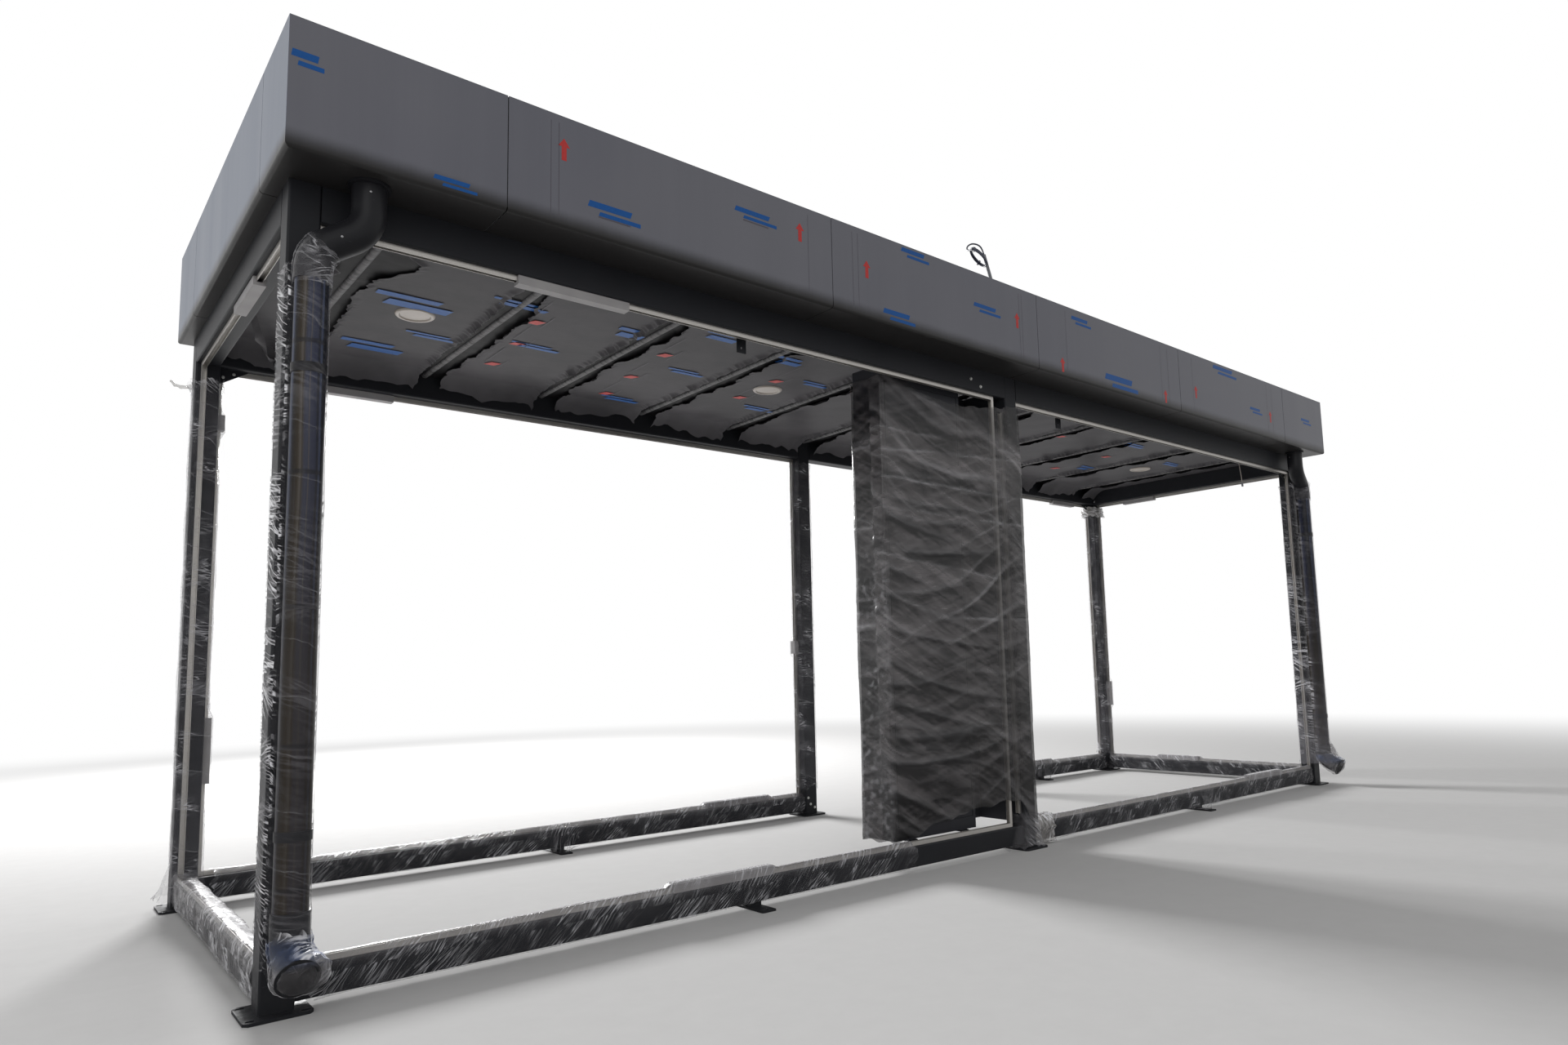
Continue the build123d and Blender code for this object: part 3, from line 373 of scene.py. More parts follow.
sway = m.times(m.noise(m.place, 1.6, 3.0, 0.6, stretch=(0.1, 0.1, 1)), 0.07)
turned_by = m.minus(sway, m.math("DIVIDE", angle, 2 * math.pi))
reflection_ramp = m.node("ShaderNodeValToRGB", {0: m.math("FRACT", turned_by)})[0]
band_stops = reflection_ramp.node.color_ramp.elements
for i, (position, colour) in enumerate(stops):
    # A new ramp already has two stops
    stop = band_stops[i] if i < 2 else band_stops.new(position)
    stop.position = position
    stop.color = (*colour, 1.0)
streaks = m.step(m.noise(m.place, 150.0, 2.0, 0.6, stretch=(1, 1, 0.012)), 0.55, 0.75)
streaked = m.mix(m.times(streaks, 0.30), reflection_ramp, streak_grey)
worn = m.minus(0.75, m.times(m.step(spot["Z"], 0.9, 2.0), 0.75))
ring_phase = m.math("PINGPONG", m.plus(spot["Z"], 0.04), 0.21)
ring = m.minus(1.0, m.step(ring_phase, 0.004, 0.011))
pipe_coat = m.finish(
    m.mix(m.times(ring, 0.7), m.mix(worn, streaked, worn_brown), ring_black),
    relief=(m.plus(m.times(ring, -0.5), streaks), 0.08, 0.002),
)

# %% [markdown]
# ## Sheet metal, aluminium and plastic
# Galvanised sheet shows large soft flakes, which Voronoi cells make well. Most other finishes
# are two tones mixed by a noise. `two_tone` builds them all: the noise may be stretched along
# a channel, given more contrast, and lead the polish and the relief as well.

# %% Zinc, aluminium, packing, lights and the small plastic parts
def galvanised(name, darker, lighter, metallic):
    m = Material(name, 0.42, metallic, 0.3)
    flakes = m.node("ShaderNodeTexVoronoi", {"Vector": m.place, "Scale": 46.0})["Color"]
    flake = m.split(flakes)["X"]
    stain = m.step(m.noise(m.place, 3.0, 5.0, 0.65), 0.4, 0.75)
    polish = m.plus(m.times(stain, 0.22), 0.36)
    return m.finish(m.mix(flake, darker, lighter), (flake, 0.05, 0.001), polish)


def two_tone(name, surface, tint, tones, bump, relief=None, contrast=None, polish=None):
    """surface is roughness, metallic and specular; tint and relief are the settings of a noise,
    and with no relief the tint is raised; bump is its strength and distance; polish is how
    much the roughness follows the tint, and where it starts."""
    m = Material(name, *surface)
    field = m.noise(m.place, **tint)
    mask = m.step(field, *contrast) if contrast else field
    height = m.noise(m.place, **relief) if relief else field
    roughness = m.plus(m.times(field, polish[0]), polish[1]) if polish else None
    return m.finish(m.mix(mask, *tones), (height, *bump), roughness)


zinc_sheet = galvanised("galvanised_sheet", (0.34, 0.36, 0.38), (0.50, 0.52, 0.54), 0.75)
# Zinc for the roof edge's frame, seen through narrow gaps: its near black colour is painted shade
shade_dark_zinc = galvanised("shade_darkened_galvanised_sheet", (0.020, 0.021, 0.022), (0.045, 0.046, 0.048), 0.2)
aluminium = two_tone(
    "drawn_aluminium", (0.40, 0.85, 0.5), dict(scale=60.0, detail=4.0, roughness=0.7, stretch=(3, 3, 3)),
    ((0.36, 0.345, 0.325), (0.52, 0.50, 0.475)), (0.06, 0.0008), polish=(0.2, 0.30),
)
packing = two_tone(
    "pale_packing", (0.6, 0.0, 0.4), dict(scale=9.0, detail=3.0),
    ((0.26, 0.25, 0.255), (0.38, 0.37, 0.37)), (0.25, 0.001), dict(scale=320.0, detail=3.0, roughness=0.6),
)
light_trim = two_tone(
    "opal_light", (0.35, 0.0, 0.5), dict(scale=14.0),
    ((0.34, 0.30, 0.265), (0.42, 0.375, 0.335)), (0.05, 0.0005), dict(scale=500.0, detail=1.0),
)
joint_strip = two_tone(
    "pale_joint_strip", (0.55, 0.0, 0.4), dict(scale=8.0, detail=4.0, roughness=0.6, stretch=(1, 6, 1)),
    ((0.115, 0.112, 0.116), (0.035, 0.034, 0.035)), (0.5, 0.006), contrast=(0.42, 0.66),
)
conduit_plastic = two_tone(
    "pale_conduit", (0.45, 0.0, 0.4), dict(scale=22.0, detail=3.0),
    ((0.16, 0.165, 0.18), (0.24, 0.245, 0.26)), (0.08, 0.0005), dict(scale=260.0),
)
cable_sheath = two_tone(
    "blue_black_sheath", (0.38, 0.0, 0.5), dict(scale=60.0, detail=3.0),
    ((0.010, 0.013, 0.030), (0.020, 0.026, 0.055)), (0.1, 0.0004), dict(scale=700.0, detail=1.0),
)
# The dark sheet that shows where the ceiling's film is torn back
bare_panel = two_tone(
    "bare_dark_panel", (0.50, 0.0, 0.10), dict(scale=7.0, detail=5.0, roughness=0.65, stretch=(1, 3, 1)),
    ((0.004, 0.004, 0.005), (0.016, 0.015, 0.016)), (0.08, 0.001), polish=(0.3, 0.38),
)
bolt_steel, rivet_finish = (
    two_tone(
        name, (0.32, 0.9, 0.5), dict(scale=140.0, detail=3.0, roughness=0.6), tones, (0.08, 0.0004),
        polish=(0.25, 0.22),
    )
    for name, tones in (
        ("zinc_bolt", ((0.42, 0.42, 0.41), (0.60, 0.60, 0.58))),
        ("dull_rivet", ((0.16, 0.16, 0.165), (0.26, 0.26, 0.265))),
    )
)
# The ceiling's printed film is pale; these dark tones are painted shade
ceiling_film = two_tone(
    "printed_ceiling_film", (0.45, 0.0, 0.05), dict(scale=1.7, detail=4.0, roughness=0.6),
    ((0.056, 0.054, 0.058), (0.096, 0.092, 0.098)), (0.12, 0.004),
    dict(scale=17.0, detail=4.0, roughness=0.62, distortion=0.6, stretch=(1, 2.2, 1)),
    contrast=(0.3, 0.7), polish=(0.20, 0.34),
)
print("materials so far:", len(bpy.data.materials))

# %% [markdown]
# ## The roof edge under its protective film
# The roof edge is folded composite sheet with a lilac-grey protective film on its face, given
# the darker tone it has in shade, so its side colour is partly painted shade. The film colour
# stops at the fold, and below it the underside is painted near black as painted shade. One
# material does both: a mask on the height of the surface, made uneven with noise, picks the film
# or the painted shade. The film on the two ends is lighter and bluer: a painted reflection of the
# sky and painted light on that side. Faint upright bands show where the film was rolled on.

# %% Cassette finish
fold_line, end_face = 2.6405, 3.755
m = Material("filmed_cassette", 0.34, 0.0, 0.18)
spot = m.split(m.place)
wobble = m.times(m.noise(m.place, 6.0, 6.0, 0.72, stretch=(1, 1, 0.2)), 0.016)
above_fold = m.step(m.minus(spot["Z"], wobble), fold_line - 0.016, fold_line + 0.050)
roller = m.noise(m.place, 5.0, 4.0, 0.7, stretch=(1, 1, 0.03))
cloud = m.times(m.step(m.noise(m.place, 0.9, 3.0), 0.3, 0.7), 0.35)
on_end = m.step(m.math("ABSOLUTE", spot["X"]), end_face - 0.0012, end_face - 0.0002)
# The sides in painted shade, the ends lighter and bluer with a painted sky reflection
shaded_side_tones, sky_lit_end_tones = (
    m.mix(cloud, m.mix(roller, darker, lighter), cloudy)
    for darker, lighter, cloudy in (
        ((0.118, 0.121, 0.144), (0.156, 0.157, 0.182), (0.180, 0.180, 0.194)),
        ((0.178, 0.207, 0.275), (0.232, 0.266, 0.340), (0.250, 0.284, 0.356)),
    )
)
bubbles = m.step(m.noise(m.place, 55.0), 0.68, 0.76)
# Below the fold the colour is near black: painted shade
cassette_film = m.finish(
    m.mix(above_fold, (0.022, 0.021, 0.021), m.mix(on_end, shaded_side_tones, sky_lit_end_tones)),
    relief=(m.plus(m.times(bubbles, 0.4), roller), 0.10, 0.0015),
    roughness=m.plus(m.times(roller, 0.22), 0.26),
)

# %% Give the carried-over CAD parts their finish
finishes = {
    "frame_coat": frame_coat,
    "pipe_coat": neck_coat,
    "cassette_film": cassette_film,
    "ceiling_film": bare_panel,
    "joint_strip": joint_strip,
    "zinc_sheet": zinc_sheet,
    "aluminium_channel": aluminium,
    "packing": packing,
    "cabinet_coat": cabinet_coat,
    "light_trim": light_trim,
    "conduit": conduit_plastic,
    "cable": cable_sheath,
}
# The edge frame takes the zinc in painted shade
special = {"downpipes": pipe_coat, "edge_frame_long": shade_dark_zinc, "edge_frame_ends": shade_dark_zinc}
for part in frame["record"]["subparts"]:
    finish = special.get(part["node"], finishes[part["material_slot"]])
    for material_slot in frame["nodes"][part["node"]].material_slots:
        material_slot.material = finish

# %% [markdown]
# ## Stretch film
# The film is thin, clear and stuck to itself. Over black steel it hardly shows on a clean
# stretch and reads as a grey veil where layers lie double. It turns white on creases, partly as
# whitened film and partly as painted highlights, and where it is seen edge on it is denser and
# takes a painted highlight for the glint of light behind it. So its Alpha starts near zero and
# grows with each of these. Creases and laps need to know how the film was wound, so every wrap
# stores how far each corner lies round and along it, in metres, as a UV map called wound.

# %% Film materials
# White of creases, hems and edges: partly whitened film, partly painted highlights
crease_white_and_glint, blue_cast = (0.86, 0.86, 0.90), (0.15, 0.24, 0.52)
# Slant, fineness, length and strength of the ridges in film that lies many layers deep, which carry painted
# light and shade
shading_ridges = ((30, 13, 2.2, 2.1), (-18, 12, 2.0, 1.5), (2, 140, 1.5, 0.5))


def painted_shade_body(m, wound, hollow_shade, swell):
    """The colour of deep film in painted light and shade: dark in its hollows and light on its swells and
    ridges.
    """
    lit = m.stored("shade")
    for slant, fine, long, amount in shading_ridges:
        # The turn comes first, in a mapping of its own, because one mapping scales before it turns
        field = m.noise(m.mapped(wound, turn=(0, 0, slant)), 1.0, 3.0, 0.62, 0.3, stretch=(long, fine, 1))
        ridged = m.math("ABSOLUTE", m.minus(field, 0.5))
        lit = m.plus(lit, m.times(m.minus(ridged, 0.085), amount))
    return m.mix(lit, hollow_shade, swell)


def film(name, creases, pitch, slope, clear, veil, bright, rim, tone=(0.40, 0.39, 0.42), hem=0.25,
         shade=None, blue_band=None, width=0.10, chalk=1.0):
    """creases holds (slant in degrees, fineness, length, cover) for each set of lines. shade
    holds the film's painted shade colour in the hollows and its painted highlight colour on the
    swells, for film that lies many layers deep, and blue_band the heights between which the film
    takes on a blue cast."""
    m = Material(name, 0.24, 0.0, 0.45)
    wound = m.node("ShaderNodeUVMap", uv_map="wound")[0]
    sets = [
        m.use(film_creases, Wound=wound, Slant=math.radians(slant), Fine=fine, Long=long, Cover=cover,
              Width=width)
        for slant, fine, long, cover in creases
    ]
    lines, folds = sets[0]["Line"], sets[0]["Fold"]
    for marks in sets[1:]:
        lines = m.larger(lines, marks["Line"])
        folds = m.times(m.plus(folds, marks["Fold"]), 0.5)
    lines = m.times(lines, m.minus(1.0, m.stored("calm"), clamp=True))
    bands = m.use(film_bands, Wound=wound, Pitch=pitch, Slope=slope)
    pressed = m.stored("fold")
    facing = m.node("ShaderNodeLayerWeight", {"Blend": 0.5})["Facing"]
    # Seen edge on the film is partly denser and partly given a painted highlight, a glint of the light behind
    # it
    edge_glint = m.times(m.step(facing, 0.66, 1.0), m.times(m.stored("rim"), rim))
    white = m.larger(m.times(lines, chalk), m.times(bands["Hem"], min(0.6, 3 * hem)))
    white = m.larger(m.larger(white, m.times(edge_glint, 0.6)), pressed, clamp=True)
    body = painted_shade_body(m, wound, *shade) if shade else tone
    if blue_band:
        low, high = blue_band
        height = m.split(m.place)["Z"]
        below = m.minus(1.0, m.step(height, high - 0.03, high + 0.01))
        body = m.mix(m.times(m.step(height, low - 0.02, low + 0.03), below), tone, blue_cast)
    alpha = m.plus(m.plus(m.times(m.plus(bands["Layer"], folds), veil * 0.5), clear), m.stored("veil"))
    for mask, amount in ((lines, bright), (bands["Hem"], hem), (pressed, bright * 0.5)):
        alpha = m.plus(alpha, m.times(mask, amount))
    return m.finish(
        m.mix(white, body, crease_white_and_glint),
        relief=(m.plus(folds, m.times(white, 0.35)), 0.6, 0.005),
        alpha=m.plus(alpha, edge_glint, clamp=True),
    )


pipe_post_film = film(
    "near_post_stretch_film", ((26, 44, 4, 0.72), (9, 50, 4, 0.72), (-12, 48, 4, 0.52)), 0.17, 0.30,
    clear=0.012, veil=0.045, bright=1.0, rim=0.75, hem=0.12, width=0.065,
)
post_film = film(
    "post_stretch_film", ((4, 62, 11, 0.62), (-24, 56, 10, 0.54), (30, 60, 9, 0.48)), 0.17, 0.30,
    clear=0.030, veil=0.13, bright=0.42, rim=0.50, hem=0.22, width=0.075,
)
rail_film = film(
    "rail_stretch_film", ((50, 90, 7, 0.76), (36, 80, 6, 0.70)), 0.26, 1.1,
    clear=0.005, veil=0.05, bright=0.34, rim=0.42, hem=0.04, tone=(0.26, 0.25, 0.265), width=0.065,
)
loose_rail_film = film(
    "loose_rail_stretch_film", ((40, 50, 8, 0.76), (-20, 46, 7, 0.64), (74, 48, 8, 0.60)), 0.26, 1.1,
    clear=0.03, veil=0.14, bright=0.60, rim=0.30, hem=0.05, tone=(0.34, 0.33, 0.34),
)
cabinet_film = film(
    "cabinet_stretch_film", ((14, 20, 1.6, 0.50), (27, 26, 2.2, 0.46), (-20, 24, 2.0, 0.36)), 0.31, 0.10,
    clear=0.62, veil=0.10, bright=0.05, rim=0.22, hem=0.0, chalk=0.10,
    # The cabinet film's painted shade colour and painted highlight colour
    shade=((0.006, 0.005, 0.005), (0.262, 0.244, 0.250)),
)
bag_film = film(
    "shoe_bag_film", ((6, 50, 10, 0.66), (-34, 44, 9, 0.58), (40, 42, 8, 0.5)), 0.06, 0.5,
    clear=0.09, veil=0.16, bright=0.70, rim=1.0, hem=0.06, tone=(0.30, 0.29, 0.30), blue_band=(0.185, 0.250),
)
loose_film = film(
    "crumpled_film", ((12, 40, 9, 0.74), (-40, 38, 8, 0.66), (52, 42, 7, 0.66)), 0.05, 0.6,
    clear=0.24, veil=0.36, bright=0.7, rim=0.6, tone=(0.50, 0.48, 0.46),
)
print("materials with film:", len(bpy.data.materials))

# %% [markdown]
# ### The shape of a wrap
# Film pulled round several things takes the shape of a string round them: their convex hull.
# `hull` finds it, `ring_angles` spreads points evenly round it, and `wrap` runs that ring along
# a post or a rail. Where a packing block or a foot sits, the hull grows, and the film slopes
# down again on both sides like a tent. `film_skin` joins the rings.

# %% Hulls and rings
def hull(points):
    points = sorted(set((round(a, 5), round(b, 5)) for a, b in points))

    def half(source):
        chain = []
        for p in source:
            while len(chain) > 1:
                (ax, ay), (bx, by) = chain[-2:]
                if (bx - ax) * (p[1] - ay) - (by - ay) * (p[0] - ax) > 0:
                    break
                chain.pop()
            chain.append(p)
        return chain[:-1]

    return half(points) + half(points[::-1])


def rectangle(x0, x1, y0, y1):
    return [(x0, y0), (x1, y0), (x1, y1), (x0, y1)]


def span(middle, half):
    return middle - half, middle + half


def away(centre, distance, angle):
    return centre[0] + distance * math.cos(angle), centre[1] + distance * math.sin(angle)


def disc(x, y, r, count=20):
    return [away((x, y), r, 2 * math.pi * i / count) for i in range(count)]


def sides_of(ring):
    return list(zip(ring, ring[1:] + ring[:1]))


def reach(corners, centre, angle):
    """How far the outline of a convex shape lies from a centre inside it, in one direction."""
    dx, dy = math.cos(angle), math.sin(angle)
    for (ax, ay), (bx, by) in sides_of(corners):
        ex, ey = bx - ax, by - ay
        cross = dx * ey - dy * ex
        if abs(cross) < 1e-12:
            continue
        t = ((ax - centre[0]) * ey - (ay - centre[1]) * ex) / cross
        s = ((ax - centre[0]) * dy - (ay - centre[1]) * dx) / cross
        if t > 0 and -1e-9 <= s <= 1 + 1e-9:
            return t
    return 0.0


def ring_angles(corners, centre, count):
    """Angles that put the ring's points evenly along the outline, with each corner kept."""
    total = sum(math.dist(a, b) for a, b in sides_of(corners))
    angles = []
    for a, b in sides_of(corners):
        steps = max(1, round(count * math.dist(a, b) / total))
        for i in range(steps):
            x, y = a[0] + (b[0] - a[0]) * i / steps, a[1] + (b[1] - a[1]) * i / steps
            angles.append(math.atan2(y - centre[1], x - centre[0]))
    return sorted(angles)


def distances_round(ring):
    """How far each point of a closed ring lies along it, with the whole way round at the end."""
    return [0.0, *accumulate(math.dist(a, b) for a, b in sides_of(ring))]


# %% Rows of points joined into a skin
def film_skin(name, rows, wound_at, finish, inside_out=False, capped=False, marks=None):
    """wound_at(row, column) tells how far a place lies round and along the film."""
    turns = len(rows[0])
    points = [p for row in rows for p in row]
    faces = joined(len(rows), turns, closed=True, inside_out=inside_out)
    if capped:
        faces.append(tuple(range(len(points) - turns, len(points))))
    obj = mesh_object(name, points, faces)
    places = []
    for face in obj.data.polygons:
        last_column = face.index % turns == turns - 1
        for vertex in face.vertices:
            row, column = divmod(vertex, turns)
            places += wound_at(row, turns if last_column and column == 0 else column)
    obj.data.uv_layers.new(name="wound").data.foreach_set("uv", places)
    for label, values in {"rim": [1.0] * len(points), **(marks or {})}.items():
        obj.data.attributes.new(label, "FLOAT", "POINT").data.foreach_set("value", values)
    return piece(obj, finish)


# %% [markdown]
# `wrap` also crumples the film. Two layers of noise move each point outward: a slow one for
# slack and a quick one, folded with an absolute value, for sharp pleats. Film never moves
# inward, so it stays clear of the steel.

# %% The wrap itself
floor_gap = 0.003


def wrap(name, axis, start, end, base, finish, seed, bulges=(), step=0.014, count=44, slack=0.0030,
         pleat=0.0018, ragged=0.02, flare=0.012, stand_off=0.0016, look=None):
    """look(x, y, along, angle) gives how dense and how calm the film is, and how strong the painted highlight
    at its rim is.
    """
    corners = hull(base)
    centre = (sum(p[0] for p in corners) / len(corners), sum(p[1] for p in corners) / len(corners))
    angles = ring_angles(corners, centre, count)
    stations = max(4, round(abs(end - start) / step))
    plain = [reach(corners, centre, a) for a in angles]
    grown = []
    for low, high, ramp_length, extra in bulges:
        shape = hull(base + extra)
        grown.append((low, high, ramp_length, [reach(shape, centre, a) for a in angles]))
    rows, looks = [], []
    for j in range(stations + 1):
        along = start + (end - start) * j / stations
        edge = min(j, stations - j)
        row = []
        for k, angle in enumerate(angles):
            out = plain[k]
            for low, high, ramp_length, wide in grown:
                gap = max(low - along, along - high, 0.0)
                share = max(0.0, 1.0 - gap / ramp_length) ** 0.8
                out = max(out, plain[k] + (wide[k] - plain[k]) * share)
            x, y = away(centre, out, angle)
            slow = 0.5 + 0.5 * rough(x * 9, y * 9, along * 7, seed)
            quick = 1.0 - abs(rough(x * 22 + along * 6, y * 22, along * 60, seed + 3.0)) * 2.6
            lift = stand_off + slack * slow * slow * 2 + pleat * max(0.0, quick) * (0.4 + slow)
            if edge < 3:
                lift += flare * (1 - edge / 3) * max(0.0, rough(x * 30, y * 30, along * 3, seed + 8) + 0.35)
            x, y = away((x, y), lift, angle)
            spot = along + (ragged * rough(x * 26, y * 26, along, seed + 5) * 1.6 if edge == 0 else 0.0)
            # Film round a rail can touch the floor but not go through it
            height = max(y, floor_gap)
            row.append({"z": (x, y, spot), "x": (spot, x, height), "y": (x, spot, height)}[axis])
            looks.append(look(x, y, along, angle) if look else (0.0, 0.0, 1.0))
        rows.append(row)
    around = distances_round([away(centre, r, a) for r, a in zip(plain, angles)])

    def wound_at(row, column):
        return around[column], start + (end - start) * row / stations

    marks = dict(zip(("veil", "calm", "rim"), zip(*looks)))
    return film_skin(name, rows, wound_at, finish, inside_out=axis == "y", marks=marks)


# %% [markdown]
# ## Wraps round the posts
# Each post is wrapped together with the channels that stand on its faces. At the left and
# right rear corners the downpipe is inside the same wrap, with room for its sockets. The
# block sizes repeat the CAD's.

# %% Sizes that repeat the CAD's
half_length, rear_face, road_face = 3.7, -0.915, 1.045
post, plate_reach = 0.1, 0.035
half_post, post_inner = post / 2, half_length - post
rear_inner, road_inner = rear_face + post, road_face - post
rear_row, road_row, end_row = rear_face + half_post, road_face - half_post, half_length - half_post
channel, channel_depth, glass_inset = 0.022, 0.020, 0.032
half_channel = channel / 2
rear_glass, road_glass = rear_face + glass_inset, road_face - glass_inset
end_glass = half_length - glass_inset
pipe_radius, fitting_radius = 0.05, 0.0548
block_reach, block_half = 0.0355, 0.023
rail_half, rail_low, rail_high = 0.04, 0.028, 0.128
door_middle = 1.6


# %% Post wraps
def corner_base(side, face, inner, glass):
    """The things inside a corner post's wrap: the post and the channels on its two faces."""
    leg_end = inner + math.copysign(channel_depth, inner - face)
    return (
        rectangle(side * half_length, side * post_inner, face, inner)
        + rectangle(*span(side * end_glass, half_channel), inner, leg_end)
        + rectangle(side * post_inner, side * (post_inner - channel_depth), *span(glass, half_channel))
    )


def pipe_look(x, y, along, angle):
    """The film lies smooth on the round pipe and puckers on the flat of the post, most of all
    at the left end, where it was wound tightest. The right end has more turns low down. The
    painted highlight at the rim is strong on the pipe and faint on the post."""
    on_pipe = share_of((pipe_y + 0.015 - y) / 0.010)
    quiet, turns_low = 0.0, 0.0
    if x > 0:
        quiet = 0.60 - 0.50 * max(0.0, 1 - abs(along - 0.75) / 0.55)
        turns_low = 0.14 * share_of((0.95 - along) / 0.6)
    return turns_low, quiet + (0.88 - quiet) * on_pipe, 0.05 + 0.95 * on_pipe


def denser_at(height, reach_of, amount):
    return lambda x, y, along, angle: (amount * max(0.0, 1 - abs(along - height) / reach_of), 0.0, 1.0)


for side, word, top, bottom in ((-1, "left", 2.335, 0.135), (1, "right", 2.40, 0.17)):
    base = corner_base(side, rear_face, rear_inner, rear_glass)
    base += disc(side * pipe_x, pipe_y, pipe_radius + 0.002)
    socket = disc(side * pipe_x, pipe_y, fitting_radius + 0.001)
    bulges = [(2.262, 2.5, 0.02, socket), (0.0, 0.318, 0.02, socket)]
    if side > 0:
        # At the right end the last turns also caught the top of the shoe
        bulges.append((0.0, 0.19, 0.15, disc(pipe_x, pipe_y - 0.070, fitting_radius + 0.004)))
    wrap(
        f"film_rear_{word}_post", "z", bottom, top, base, pipe_post_film, 2.0 + side,
        bulges=bulges, count=72, slack=0.0020, pleat=0.0010, look=pipe_look,
    )

road_left, road_right = (corner_base(side, road_face, road_inner, road_glass) for side in (-1, 1))
left_block = rectangle(-post_inner, -post_inner + block_reach, *span(road_glass, block_half))
plate_skirt = rectangle(*span(-end_row, half_post + plate_reach), *span(road_row, half_post + plate_reach))
left_bulges = [(0.540, 0.840, 0.03, left_block), (2.200, 2.275, 0.03, left_block)]
left_bulges.append((0.0, 0.046, 0.13, plate_skirt))
wrap(
    "film_road_left_post", "z", 0.045, 2.415, road_left, post_film, 5.0, left_bulges,
    flare=0.03, slack=0.005, look=denser_at(0.0, 0.3, 0.10),
)
right_block = rectangle(*span(end_glass, block_half), road_inner - block_reach, road_inner)
wrap(
    "film_road_right_post", "z", 0.154, 2.46, road_right, post_film, 6.0,
    bulges=[(0.600, 0.820, 0.03, right_block)], flare=0.02, slack=0.004, look=denser_at(0.3, 0.5, 0.08),
)
wrap(
    "film_road_right_collar", "z", 2.385, 2.475, road_right, loose_film, 6.5,
    step=0.006, count=90, slack=0.020, pleat=0.012, flare=0.010, stand_off=0.008,
)
middle_sides = rectangle(-half_post - channel_depth, -half_post, *span(road_glass, half_channel))
middle_block = rectangle(-half_post - block_reach, -half_post, *span(road_glass, block_half))
wrap(
    "film_road_middle_post", "z", 0.185, 2.47,
    rectangle(*span(0.0, half_post), road_inner, road_face) + middle_sides, post_film, 7.0,
    bulges=[(1.110, 1.198, 0.03, middle_block)],
)
door_edge = door_middle + half_post
door_sides = rectangle(door_edge, door_edge + channel_depth, *span(road_glass, half_channel))
wrap(
    "film_road_door_post", "z", 0.160, 2.43,
    rectangle(*span(door_middle, half_post), road_inner, road_face) + door_sides, post_film, 8.0,
)

# %% Rail wraps
block_tent, foot_tent = 0.028, 0.085


def rail_look(x, y, along, angle):
    """The film is pulled over the rail's top edges, where it lies in the most layers. The denser, lighter
    film on top, fading to dark below, is partly these layers and partly painted light from above.
    """
    top = max(0.0, math.sin(angle)) ** 1.5
    return 0.40 * top + 0.08 * max(0.0, rough(along * 5, angle, 0.0, 61.0)), 0.3 * top, 1.0


def rail_base(middle, glass):
    rail = rectangle(*span(middle, rail_half), rail_low, rail_high)
    return rail + rectangle(*span(glass, half_channel), rail_high, rail_high + channel_depth)


def rail_bulge(centre, length, glass):
    """Film lifted over a packing block."""
    shape = rectangle(*span(glass, block_half), rail_high, rail_high + block_reach)
    return *span(centre, length / 2), block_tent, shape


def foot_bulge(centre, middle):
    """Film drawn down to the plate of a levelling foot."""
    return *span(centre, 0.030), foot_tent, rectangle(*span(middle, 0.095), 0.0105, 0.016)


tight = dict(count=48, slack=0.0022, pleat=0.0010, look=rail_look)
rear_base, road_base = rail_base(rear_row, rear_glass), rail_base(road_row, road_glass)
for name, start, end, base, bulges, seed in (
    ("rear_left", -3.535, -0.90, rear_base, [rail_bulge(-2.010, 0.5, rear_glass)], 11.0),
    ("rear_right", 0.069, 3.585, rear_base,
     [rail_bulge(2.815, 0.5, rear_glass), foot_bulge(1.85, rear_row)], 12.0),
    ("road_left", -3.540, -0.065, road_base,
     [rail_bulge(-0.587, 0.5, road_glass), foot_bulge(-1.85, road_row)], 13.0),
    ("road_right", 1.665, 3.585, road_base,
     [rail_bulge(2.6, 0.4, road_glass), foot_bulge(2.625, road_row)], 14.0),
):
    wrap(f"film_rail_{name}", "x", start, end, base, rail_film, seed, bulges=bulges, step=0.012,
         ragged=0.03, flare=0.008, **tight)
wrap("film_rail_end_left", "y", -0.80, 0.93, rail_base(-end_row, -end_glass), loose_rail_film, 15.0,
     count=60, step=0.010, slack=0.0045, pleat=0.0035, look=rail_look)
wrap("film_rail_end_right", "y", -0.80, 0.93, rail_base(end_row, end_glass), rail_film, 16.0,
     bulges=[rail_bulge(0.262, 0.37, end_glass)], **tight)
wrap("film_rail_rear_knot", "x", 0.058, 0.215, rear_base, loose_film, 17.0,
     step=0.006, count=72, slack=0.012, pleat=0.008, stand_off=0.005, ragged=0.03)
foot_flap = rectangle(-0.160, 0.062, rear_face - 0.024, rear_inner + 0.012)
wrap("film_middle_foot", "z", 0.016, 0.190, rectangle(*span(0.0, 0.054), *span(rear_row, 0.054)), rail_film,
     18.0, bulges=[(0.0, 0.020, 0.150, foot_flap)], step=0.008, count=60, slack=0.005, pleat=0.004,
     look=denser_at(0.0, 0.4, 0.16))

# %% [markdown]
# ## The big wrap round the cabinet and the middle post
# One bundle of film goes round the cabinet, the upright channel and the middle post. Its top
# edge dips towards the cabinet's far side and its bottom edge rises from the cabinet's foot
# to the post, as film does when it is wound on a slant. The pull comes from the cabinet's near
# corner, so long folds fan out from there. Each fold is a ridge in the mesh. Its strength is
# also stored, so that the material turns whiter on the ridge, where the film lies double and
# takes a painted highlight. Painted light and shade are stored too: lighter above each ridge,
# darker below, and over the slack between the folds.

